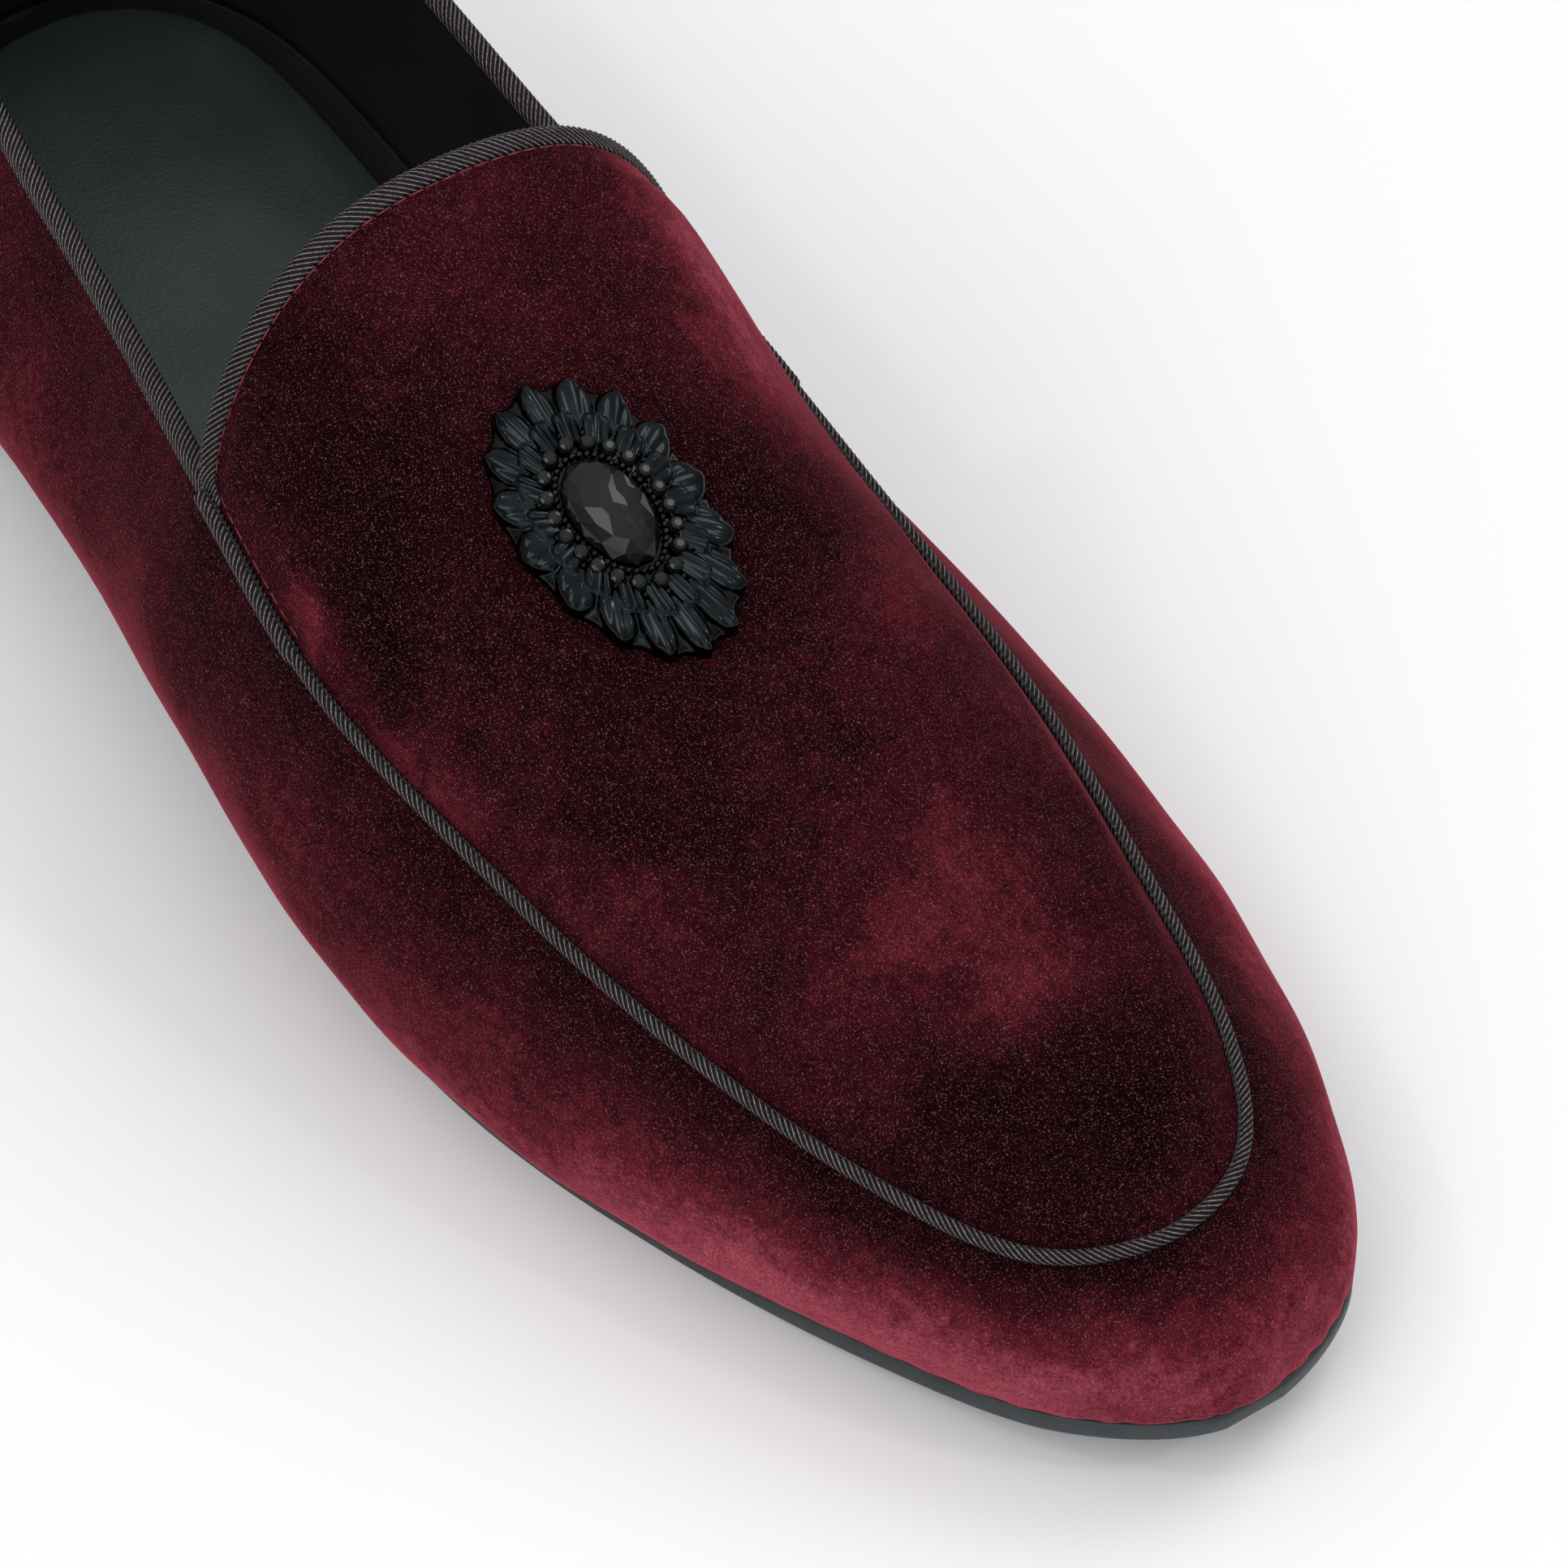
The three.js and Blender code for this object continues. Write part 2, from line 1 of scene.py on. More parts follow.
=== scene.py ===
"""A right velvet loafer: lined skirt, apron and tongue, ribbed tape at the edges, brooch on the instep.

Lengths are millimetres in the shoe's own plan (x from the heel back, y to the inner side, z up) until a
piece is made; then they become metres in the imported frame.
"""
import math

import bpy
import numpy as np
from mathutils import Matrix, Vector


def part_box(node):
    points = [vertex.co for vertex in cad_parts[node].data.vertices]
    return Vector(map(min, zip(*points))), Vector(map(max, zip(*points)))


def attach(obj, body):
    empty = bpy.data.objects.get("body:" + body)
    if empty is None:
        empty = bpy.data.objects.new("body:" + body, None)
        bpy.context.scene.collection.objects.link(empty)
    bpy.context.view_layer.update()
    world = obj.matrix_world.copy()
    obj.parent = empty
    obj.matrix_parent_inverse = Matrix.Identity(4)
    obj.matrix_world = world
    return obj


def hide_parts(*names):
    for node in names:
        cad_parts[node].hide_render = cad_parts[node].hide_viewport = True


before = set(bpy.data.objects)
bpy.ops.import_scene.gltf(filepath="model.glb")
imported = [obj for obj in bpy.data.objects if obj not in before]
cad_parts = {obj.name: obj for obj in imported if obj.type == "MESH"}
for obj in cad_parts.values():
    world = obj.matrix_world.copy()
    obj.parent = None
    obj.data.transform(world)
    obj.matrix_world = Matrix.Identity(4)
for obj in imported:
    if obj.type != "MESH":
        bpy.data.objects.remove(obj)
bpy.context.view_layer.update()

MM = 0.001
UP = np.array([0.0, 0.0, 1.0])

# Driving sizes, as in the part's source but for the puff, tape, cord and stitches
LENGTH = 300.0
BALL_WIDTH = 100.0
INSTEP_HEIGHT = 88.0
HEEL_HEIGHT = 11.0
TOE_SPRING = 10.4
SOLE_THICKNESS = 3.4
SOLE_MARGIN = 0.2
HEEL_MARGIN = -0.4
TOP_PIECE_MARGIN = -0.9
WALL_THICKNESS = 2.0
GAP = 0.3
INSOLE_THICKNESS = 2.2
TOP_PIECE_THICKNESS = 4.0
HEEL_BREAST = 60.0
TONGUE_LENGTH = 7.4
TONGUE_SLOPE = 0.48
TONGUE_ROUNDNESS = 2.6
CREST_HANDLE = 0.48
SEAM_HANDLE = 0.4
SHOULDER_FULLNESS = 0.145
SHOULDER_START = 0.55
WALL_HANDLE = 0.42
APRON_PUFF = 1.45
APRON_UNEVEN = 0.18
SKIRT_UNEVEN = 0.25
TOE_PLEATS = 4.3
PLEAT_DEPTH = 0.14
PIPING_RADIUS = 0.98
TONGUE_PIPING_RADIUS = 1.22
# Stitch length, gap and thread radius
STITCH = (2.2, 0.25, 0.14)
# Stations: how far the tongue tape runs down the seam, and where the thick piping ends
TAPE_OVERLAP = 0.12
JOINT_OUTER = 5.82
JOINT_INNER = 16.45
TAPE_THICKNESS = 0.55
TOPLINE_TAPE_LEG = 1.1
TONGUE_TAPE_LEG = 1.9
RIB_PITCH = 1.0
RIB_SLANT = 1.25
CORD_RIB_HEIGHT = 0.075
TAPE_RIB_HEIGHT = 0.09
CORD_SEAT = 0.75
BROOCH_LENGTH = 43.0
BROOCH_WIDTH = 28.0
BROOCH_STATION = 0.8
BROOCH_SIDE = -3.5
BROOCH_PETALS = 16
BROOCH_LOBE = 0.03
DOME_EDGE = 2.7
DOME_RISE = 3.0
STONE_RISE = 3.8
FLOOR_SIDE = 8.0

# Side wall stations round the shoe: x in % of length, y in % of ball width, z in % of instep height,
# leans in degrees
COLUMNS = ["foot_x", "foot_y", "edge_x", "edge_y", "edge_z", "foot_lean", "edge_lean"]
WALL = {
    "heel_back": [0.7, -1.5, 2.4, 0, 76.7, 14, 14],
    "heel_outer": [3, -21.7, 4.4, -17, 75.2, 15, 14],
    "counter_outer": [9.3, -34.6, 10.4, -28, 71.2, 19, 17],
    "seat_outer": [20, -42.5, 20.7, -33, 67.2, 33, 19],
    "waist_outer": [32.7, -43.6, 32.1, -36.8, 65.7, 38, 20],
    "notch_outer": [46, -45.7, 44.3, -42.9, 68.4, 35, 29],
    "instep_outer": [56, -48.4, 55.3, -45.3, 62.1, 35, 29],
    "ball_outer": [66.5, -45.8, 66.7, -39.2, 52.7, 43, 34.5],
    "forefoot_outer": [77.2, -36.7, 76.3, -31.8, 45.3, 45, 41],
    "toe_outer": [87.2, -25.3, 85, -22.2, 39.9, 31, 47],
    "tip_outer": [95.6, -11.7, 91.6, -10.5, 36.7, 18, 55],
    "toe_tip": [99.7, 6.2, 94.2, 4.4, 38.2, 10, 60],
    "tip_inner": [97.2, 28.4, 92.7, 19.5, 38.2, 11, 56],
    "toe_inner": [89.7, 41.3, 87, 28.9, 38.8, 19.5, 48.5],
    "forefoot_inner": [80, 48.4, 78.7, 33, 42.8, 25, 42.5],
    "ball_inner": [70, 49.2, 69, 35.7, 48, 28, 38],
    "instep_inner": [57.3, 44.3, 56.1, 34.9, 55.2, 34, 32],
    "notch_inner": [45.3, 34.2, 44.8, 34.7, 58.5, 36, 12],
    "waist_inner": [33.3, 29.4, 32.5, 33, 61.2, 34, 17],
    "seat_inner": [20.7, 31.6, 21.1, 31.7, 65, 24, 18],
    "counter_inner": [9.3, 29.5, 10.4, 27.5, 70.5, 14, 16],
    "heel_inner": [3, 18.3, 4.4, 16.8, 74.8, 14, 14],
}
STATIONS = list(WALL)
WALL_ROWS = np.array(list(WALL.values()), float)
NOTCH_OUTER = STATIONS.index("notch_outer")
TOE_TIP = STATIONS.index("toe_tip")
NOTCH_INNER = STATIONS.index("notch_inner")
AROUND = len(STATIONS)

# Underside of the outsole: x in % of length, height in millimetres
UNDERSIDE = [
    (0, HEEL_HEIGHT),
    (15, HEEL_HEIGHT),
    (26, HEEL_HEIGHT),
    (37.3, 0.69 * HEEL_HEIGHT),
    (48.3, 0.26 * HEEL_HEIGHT),
    (57.3, 0.03 * HEEL_HEIGHT),
    (62, 0),
    (71.3, 0),
    (77.3, 0.07 * TOE_SPRING),
    (85, 0.28 * TOE_SPRING),
    (93.3, 0.58 * TOE_SPRING),
    (100, TOE_SPRING),
]
# Rise of the apron's crest above its seam from toe tip to notch, in % of instep height
CREST_RISE = [0, 3, 7, 12.3, 19, 26, 38.3]


# Shape of the shoe
def level_curve(table, x):
    """Cubic steps through the table's points; slopes are harmonic means, so level stretches stay level."""
    xs, ys = np.array(table, float).T
    secant = np.diff(ys) / np.diff(xs)
    product = secant[:-1] * secant[1:]
    total = np.where(product > 0, secant[:-1] + secant[1:], 1.0)
    slope = np.concatenate([secant[:1], np.where(product > 0, 2 * product / total, 0.0), secant[-1:]])
    x = np.clip(x, xs[0], xs[-1])
    i = np.clip(np.searchsorted(xs, x) - 1, 0, len(xs) - 2)
    width = xs[i + 1] - xs[i]
    t = (x - xs[i]) / width
    start = (1 + 2 * t) * (1 - t) ** 2 * ys[i] + t * (1 - t) ** 2 * width * slope[i]
    return start + t * t * (3 - 2 * t) * ys[i + 1] + t * t * (t - 1) * width * slope[i + 1]


def underside(x):
    """Height of the sole's lower face over the floor at x."""
    return level_curve(UNDERSIDE, 100 * np.asarray(x, float) / LENGTH)


def wall_column(name, u):
    """One column of the wall table at station u: a closed cubic through the rows."""
    values = WALL_ROWS[:, COLUMNS.index(name)]
    i = np.floor(u).astype(int)
    t = u - i
    a, b, c, d = (values[(i + k) % AROUND] for k in (-1, 0, 1, 2))
    return 0.5 * (2 * b + (c - a) * t + (2 * a - 5 * b + 4 * c - d) * t**2 + (3 * b - a - 3 * c + d) * t**3)


def foot_point(u):
    """Line where the wall meets the sole."""
    x = wall_column("foot_x", u) * LENGTH / 100
    y = wall_column("foot_y", u) * BALL_WIDTH / 100
    return np.stack([x, y, underside(x) + SOLE_THICKNESS + GAP], -1)


def edge_point(u):
    """Topline behind the notches and apron seam in front of them."""
    x = wall_column("edge_x", u) * LENGTH / 100
    y = wall_column("edge_y", u) * BALL_WIDTH / 100
    return np.stack([x, y, wall_column("edge_z", u) * INSTEP_HEIGHT / 100], -1)


def unit(vectors):
    """Vectors scaled to length one."""
    return vectors / np.maximum(np.linalg.norm(vectors, axis=-1, keepdims=True), 1e-9)


def outward(u):
    """Level direction away from the shoe at station u: the foot line's tangent turned a quarter."""
    along = foot_point(u + 0.001) - foot_point(u - 0.001)
    return unit(np.stack([along[..., 1], -along[..., 0], 0 * u], -1))


def lean(side, degrees):
    """Upward direction tilted towards side by an angle."""
    angle = np.radians(degrees)[..., None]
    return side * np.sin(angle) + UP * np.cos(angle)


def bezier(a, b, c, d, t):
    """Cubic curve with end points a, d and handles b, c."""
    t = t[..., None]
    s = 1 - t
    return s**3 * a + 3 * s * s * t * b + 3 * s * t * t * c + t**3 * d


def wall_point(u, h):
    """Side wall: at station u a cubic from foot (h = 0) to edge (h = 1), leaning there as in the table."""
    foot, edge, side = foot_point(u), edge_point(u), outward(u)
    reach = WALL_HANDLE * np.linalg.norm(edge - foot, axis=-1, keepdims=True)
    low = foot + reach * lean(side, wall_column("foot_lean", u))
    high = edge - reach * lean(side, -wall_column("edge_lean", u))
    return bezier(foot, low, high, edge, h)


def apron_point(v, k):
    """Apron: at v (0 toe tip, 1 notches) two cubics from the crest to the seam, k = -1 outer to 1 inner.

    Towards the notches the inner half is fuller: both handles of its curve grow. Past v = 1 each line of the
    last section runs on up and back to the tongue's round end at v = 2.
    """
    v_seam = np.minimum(v, 1.0)
    outer = TOE_TIP - (TOE_TIP - NOTCH_OUTER) * v_seam
    inner = TOE_TIP + (NOTCH_INNER - TOE_TIP) * v_seam
    left, right = edge_point(outer), edge_point(inner)
    rise_rows = [(i / (len(CREST_RISE) - 1), rise) for i, rise in enumerate(CREST_RISE)]
    crest = (left + right) / 2 + UP * (level_curve(rise_rows, v_seam) * INSTEP_HEIGHT / 100)[..., None]
    across = (right - left) * np.array([1.0, 1.0, 0.0])
    half = np.linalg.norm(across, axis=-1, keepdims=True) / 2
    is_outer = (k < 0)[..., None]
    side = unit(across) * np.where(is_outer, -1.0, 1.0)
    edge = np.where(is_outer, left, right)
    angle = np.where(k < 0, wall_column("edge_lean", outer), wall_column("edge_lean", inner))
    full = np.where(k < 0, 0.0, SHOULDER_FULLNESS * soft_step(SHOULDER_START, 1, v_seam))[..., None]
    seam_reach = (SEAM_HANDLE + full) * np.linalg.norm(crest - edge, axis=-1, keepdims=True)
    high = crest + (CREST_HANDLE + full) * half * side
    point = bezier(crest, high, edge + seam_reach * lean(side, -angle), edge, np.abs(k))
    tongue = np.sqrt(np.maximum(1 - np.abs(k) ** TONGUE_ROUNDNESS, 0)) * TONGUE_LENGTH
    reach = (np.maximum(v - 1, 0) * tongue)[..., None]
    return point + reach * np.array([-1.0, 0.0, TONGUE_SLOPE])


def apron_normal(v, k):
    """Direction out of the apron: its across tangent crossed with its lengthwise tangent."""
    step = 0.003
    ahead = np.where((v <= 1) & (v > 1 - step), 0.0, step)
    along = apron_point(v + ahead, k) - apron_point(v - step, k)
    return unit(np.cross(apron_point(v, k + step) - apron_point(v, k - step), along))


def grid_normals(points, wrap):
    """Directions out of a grid of points: tangents by differences, crossed; wrap closes the first axis."""
    if wrap:
        padded = np.concatenate([points[-1:], points, points[:1]])
        first = (padded[2:] - padded[:-2]) / 2
    else:
        first = np.gradient(points, axis=0)
    return unit(np.cross(first, np.gradient(points, axis=1)))


def soft_step(low, high, x):
    """0 below low, 1 above high and a smooth cubic between."""
    t = np.clip((x - low) / (high - low), 0, 1)
    return t * t * (3 - 2 * t)


def bump_at(x, centre, width):
    """Bell of height 1 about centre."""
    return np.exp(-(((x - centre) / width) ** 2))


def distance_to(points, line):
    """Distance from every point to the nearest of a dense line's points."""
    flat = points.reshape(-1, 3)
    square = (flat**2).sum(1)[:, None] + (line**2).sum(1)[None] - 2 * flat @ line.T
    return np.sqrt(np.maximum(square.min(1), 0)).reshape(points.shape[:-1])


def cad_offset():
    """Shift from the shoe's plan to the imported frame: the wall's box in plan against the upper's box."""
    u, h = np.meshgrid(np.arange(0, AROUND, 0.25), np.linspace(0, 1, 9), indexing="ij")
    wall = wall_point(u, h).reshape(-1, 3)
    low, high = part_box("upper")
    middle = (wall.min(0) + wall.max(0)) / 2
    return np.array([(low[0] + high[0]) / 2 / MM - middle[0], (low[1] + high[1]) / 2 / MM - middle[1], 0.0])


OFFSET = cad_offset()


# Making pieces
def grid_quads(rows, columns, wrap):
    """Corner numbers of a grid's quads, facing along first axis by second; wrap closes the rows."""
    r = np.arange(rows if wrap else rows - 1)[:, None]
    c = np.arange(columns - 1)[None]
    after = (r + 1) % rows
    corners = (r * columns + c, after * columns + c, after * columns + c + 1, r * columns + c + 1)
    return np.stack(corners, -1).reshape(-1, 4)


def slab_quads(rows, columns, wrap):
    """Quads of a closed slab: top grid, grid below it turned over, and the walls round its free edges."""
    count = rows * columns
    top = grid_quads(rows, columns, wrap)
    r = np.arange(rows if wrap else rows - 1)
    after = (r + 1) % rows
    near, near_after = r * columns, after * columns
    far, far_after = near + columns - 1, near_after + columns - 1
    walls = [
        np.stack([near_after, near, near + count, near_after + count], -1),
        np.stack([far, far_after, far_after + count, far + count], -1),
    ]
    if not wrap:
        c = np.arange(columns - 1)
        last = (rows - 1) * columns + c
        walls.append(np.stack([c, c + 1, c + 1 + count, c + count], -1))
        walls.append(np.stack([last + 1, last, last + count, last + 1 + count], -1))
    return np.concatenate([top, top[:, ::-1] + count] + walls), len(top)


def make_piece(name, points, faces, materials, slots=None, uv=None, nap_and_painted_light=None, smooth=True):
    """A mesh object from points in millimetres and faces with equal corner counts, riding the shoe."""
    faces = np.asarray(faces)
    mesh = bpy.data.meshes.new(name)
    mesh.vertices.add(len(points))
    mesh.vertices.foreach_set("co", ((np.asarray(points) + OFFSET) * MM).ravel())
    mesh.loops.add(faces.size)
    mesh.loops.foreach_set("vertex_index", faces.ravel().astype(np.int32))
    mesh.polygons.add(len(faces))
    mesh.polygons.foreach_set("loop_start", np.arange(0, faces.size, faces.shape[1], dtype=np.int32))
    mesh.polygons.foreach_set("use_smooth", np.full(len(faces), smooth))
    for material in materials:
        mesh.materials.append(material)
    if slots is not None:
        mesh.polygons.foreach_set("material_index", np.asarray(slots, np.int32))
    if uv is not None:
        layer = mesh.uv_layers.new(name="cloth")
        layer.data.foreach_set("uv", np.asarray(uv)[faces.ravel()].ravel())
    # Pile values per point: brushed patches with painted light and shade, read by the velvet's colour
    if nap_and_painted_light is not None:
        mesh.attributes.new("nap_and_painted_light", "FLOAT", "POINT").data.foreach_set("value", nap_and_painted_light)
    mesh.update(calc_edges=True)
    piece = bpy.data.objects.new(name, mesh)
    bpy.context.scene.collection.objects.link(piece)
    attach(piece, "root")
    return piece


def carried_profile(name, path, past, face, profile, ribs):
    """Tape with a closed profile carried along a path, its outside raised in slanting ribs.

    profile holds (past, face) offsets; ribs is their height. A rib's crest lies where length along the
    path plus the slant times length round the profile is a whole number of pitches.
    """
    rows, columns = len(path), len(profile)
    loop = np.concatenate([profile[-1:], profile, profile[:1]])
    tangent = loop[2:] - loop[:-2]
    normal = unit(np.stack([tangent[:, 1], -tangent[:, 0]], -1))
    scale = np.linalg.norm(past, axis=-1).mean()
    around = scale * line_length(profile)
    length = line_length(path)
    pitches = (length[:, None] + RIB_SLANT * around[None]) / RIB_PITCH
    lift = ribs[None] * (np.cos(2 * math.pi * pitches) - 0.4)
    offsets = profile[None] + lift[..., None] * normal[None]
    points = path[:, None] + past[:, None] * offsets[..., :1] + face[:, None] * offsets[..., 1:]
    ring = np.arange(columns)
    after = (ring + 1) % columns
    row = columns * np.arange(rows - 1)[:, None]
    sides = np.stack([row + ring, row + after, row + columns + after, row + columns + ring], -1)
    low = np.arange(columns // 2 - 1)
    cap = np.stack([low, columns - 1 - low, columns - 2 - low, low + 1], -1)
    quads = np.concatenate([sides.reshape(-1, 4), cap, cap[:, ::-1] + (rows - 1) * columns])
    uv = np.stack(np.broadcast_arrays(pitches, around[None]), -1).reshape(-1, 2)
    return make_piece(name, points.reshape(-1, 3), quads, [TAPE], uv=uv)


def ring_solids(rings, starts, ends):
    """Many small closed solids: each a stack of rings round an axis, closed to a point at start and end.

    rings is copies x levels x places x 3, anticlockwise seen from the end; returns points and triangles.
    """
    copies, levels, places = rings.shape[:3]
    ring = np.arange(places)
    after = (ring + 1) % places
    first = levels * places
    triangles = [np.stack([0 * ring + first, after, ring], -1)]
    for level in range(levels - 1):
        a, b = level * places + ring, level * places + after
        triangles.append(np.stack([a, b, b + places], -1))
        triangles.append(np.stack([a, b + places, a + places], -1))
    last = (levels - 1) * places
    triangles.append(np.stack([0 * ring + first + 1, last + ring, last + after], -1))
    one = np.concatenate(triangles)
    points = np.concatenate([rings.reshape(copies, -1, 3), starts[:, None], ends[:, None]], 1)
    faces = one[None] + (points.shape[1] * np.arange(copies))[:, None, None]
    return points.reshape(-1, 3), faces.reshape(-1, 3)


def joined(first, second):
    """Points and faces of two lots of solids as one lot."""
    faces = np.concatenate([first[1], second[1] + len(first[0])])
    return np.concatenate([first[0], second[0]]), faces


def beads(centre, right, ahead, up, radius, levels, places):
    """Round solids at centres: levels are (share of radius, share of radius up), closed below and above."""
    angle = np.linspace(0, 2 * math.pi, places, endpoint=False)
    disc = right[:, None] * np.cos(angle)[:, None] + ahead[:, None] * np.sin(angle)[:, None]
    rings = [centre[:, None] + radius * (wide * disc + high * up[:, None]) for wide, high in levels]
    starts = centre + radius * levels[0][1] * up
    ends = centre + radius * levels[-1][1] * up
    return ring_solids(np.stack(rings, 1), starts, ends)


def stitches(path, normal, stitch, gap, radius):
    """Thread stitches along a path: short spindles, stitch long and gap apart, half sunk in the cloth."""
    spaced, up = (values[:-1] for values in even_frames(path, normal, stitch + gap))
    along = unit(np.gradient(spaced, axis=0))
    side = unit(np.cross(up, along))
    up = np.cross(along, side)
    reach = np.array([-0.47, -0.3, 0.0, 0.3, 0.47]) * stitch
    thick = np.array([0.45, 0.9, 1.0, 0.9, 0.45]) * radius
    angle = np.linspace(0, 2 * math.pi, 6, endpoint=False)
    disc = side[:, None] * np.cos(angle)[:, None] + up[:, None] * np.sin(angle)[:, None]
    rings = np.stack([spaced[:, None] + along[:, None] * r + disc * t for r, t in zip(reach, thick)], 1)
    return ring_solids(rings, spaced - along * stitch / 2, spaced + along * stitch / 2)


# Materials
def srgb(code):
    """sRGB hex colour as linear RGBA."""
    parts = np.array([int(code[i : i + 2], 16) for i in (1, 3, 5)]) / 255
    linear = np.where(parts <= 0.04045, parts / 12.92, ((parts + 0.055) / 1.055) ** 2.4)
    return (*linear.tolist(), 1.0)


def feed(node, inputs):
    """Sets a node's inputs: values go into their sockets, outputs of other nodes are linked to them."""
    for name, value in inputs.items():
        if isinstance(value, bpy.types.NodeSocket):
            node.id_data.links.new(value, node.inputs[name])
        else:
            node.inputs[name].default_value = value


def add(tree, kind, inputs=None, **settings):
    """One node with its settings and its inputs."""
    made = tree.nodes.new(kind)
    for name, value in settings.items():
        setattr(made, name, value)
    feed(made, inputs or {})
    return made


def ramp(node, stops):
    """Sets the stops of a colour ramp node as (place, hex) pairs and returns its colour."""
    band = node.color_ramp
    while len(band.elements) < len(stops):
        band.elements.new(0.5)
    for element, (place, code) in zip(band.elements, stops):
        element.position = place
        element.color = srgb(code)
    return node.outputs["Color"]


def start_material(name):
    """A new material: returns it, its tree, its Principled shader and the place on the piece."""
    material = bpy.data.materials.new(name)
    material.use_nodes = True
    tree = material.node_tree
    place = add(tree, "ShaderNodeTexCoord").outputs["Object"]
    return material, tree, tree.nodes["Principled BSDF"], place


def make_velvet():
    """Cotton velvet, cut pile about 1 mm: nearly black seen down the pile, wine red where it lies over.

    A float attribute on the piece carries brushed patches with painted light and shade; fine noise gives the
    pile's grain and painted glints.
    """
    material, tree, shader, place = start_material("cotton_velvet")
    nap_and_painted_light = add(tree, "ShaderNodeAttribute", attribute_name="nap_and_painted_light").outputs["Fac"]
    # Clouds about 18 mm across and mottling about 2.5 mm across
    clouds = {"Vector": place, "Scale": 50.0, "Detail": 5.0, "Roughness": 0.5}
    mottling = {"Vector": place, "Scale": 400.0, "Detail": 3.0, "Roughness": 0.7}
    cloud = add(tree, "ShaderNodeTexNoise", clouds).outputs["Fac"]
    mottle = add(tree, "ShaderNodeTexNoise", mottling).outputs["Fac"]
    shade = add(tree, "ShaderNodeMath", {0: cloud, 1: 0.45, 2: nap_and_painted_light}, operation="MULTIPLY_ADD").outputs[0]
    lie = add(tree, "ShaderNodeMath", {0: mottle, 1: 0.38, 2: shade}, operation="MULTIPLY_ADD").outputs[0]
    pile = ramp(
        add(tree, "ShaderNodeValToRGB", {"Fac": lie}),
        [(0.05, "#0b0203"), (0.3, "#1b0508"), (0.5, "#350c13"), (0.7, "#591b26"), (1.0, "#93404e")],
    )
    # Pile tips are about 0.3 mm across; drawn at 0.45 mm so that they show
    tufts = {"Vector": place, "Scale": 2200.0, "Detail": 2.0, "Roughness": 0.6}
    tips = add(tree, "ShaderNodeTexNoise", tufts).outputs["Fac"]
    spread = {"Value": tips, "From Min": 0.3, "From Max": 0.7, "To Min": 0.6, "To Max": 1.4}
    grain = add(tree, "ShaderNodeMapRange", spread).outputs["Result"]
    cut = add(tree, "ShaderNodeVectorMath", {0: pile, "Scale": grain}, operation="SCALE").outputs[0]
    # Painted glints: single fibres catch the light; their specks are drawn at about 0.25 mm so that they
    # show, and added to the colour
    specks = {"Vector": place, "Scale": 4000.0, "Detail": 1.0}
    sparks = add(tree, "ShaderNodeTexNoise", specks).outputs["Fac"]
    painted_glint = ramp(add(tree, "ShaderNodeValToRGB", {"Fac": sparks}), [(0.58, "#000000"), (0.8, "#6c484d")])
    colour = add(tree, "ShaderNodeVectorMath", {0: cut, 1: painted_glint}, operation="ADD")
    height = add(tree, "ShaderNodeBump", {"Strength": 0.5, "Distance": 0.00025, "Height": tips})
    feed(shader, {"Base Color": colour.outputs[0], "Normal": height.outputs["Normal"]})
    feed(shader, {"Roughness": 0.95, "Specular IOR Level": 0.02})
    feed(shader, {"Sheen Weight": 0.95, "Sheen Roughness": 0.24, "Sheen Tint": srgb("#d05a6b")})
    return material


def make_tape():
    """Bias twill tape of dark viscose: brown black ground, ribs a little lighter and silky; the colour by
    rib height is partly the threads' tone, partly painted highlight on the crests and painted shade in the
    grooves.
    """
    material, tree, shader, place = start_material("twill_tape")
    uv = add(tree, "ShaderNodeUVMap", uv_map="cloth").outputs["UV"]
    # The map's first axis counts ribs and a wave of scale 1 repeats every 0.314 units; each rib is 3 threads
    one_rib = 0.3142
    ribs = {"Vector": uv, "Scale": one_rib, "Phase Offset": math.pi}
    rib = add(tree, "ShaderNodeTexWave", ribs).outputs["Fac"]
    threads = add(tree, "ShaderNodeTexWave", {**ribs, "Scale": 3 * one_rib}).outputs["Fac"]
    # Loose fibres about 0.4 mm across
    fuzz = add(tree, "ShaderNodeTexNoise", {"Vector": place, "Scale": 2600.0, "Detail": 2.0}).outputs["Fac"]
    rough = add(tree, "ShaderNodeMath", {0: fuzz, 1: 0.7, 2: rib}, operation="MULTIPLY_ADD").outputs[0]
    mixed = add(tree, "ShaderNodeMath", {0: threads, 1: 0.25, 2: rough}, operation="MULTIPLY_ADD").outputs[0]
    weave = add(tree, "ShaderNodeMath", {0: mixed, 1: 0.6}, operation="MULTIPLY").outputs[0]
    # Colour by rib height, partly the threads' tone and partly painted light: near black grooves as painted
    # shade, light grey peaks as painted highlight
    colour = ramp(
        add(tree, "ShaderNodeValToRGB", {"Fac": weave}),
        [(0.3, "#050304"), (0.6, "#161113"), (0.8, "#3a3034"), (1.0, "#958a8e")],
    )
    height = add(tree, "ShaderNodeBump", {"Strength": 0.5, "Distance": 0.0002, "Height": weave})
    feed(shader, {"Base Color": colour, "Normal": height.outputs["Normal"]})
    feed(shader, {"Roughness": 0.55, "Specular IOR Level": 0.15})
    return material


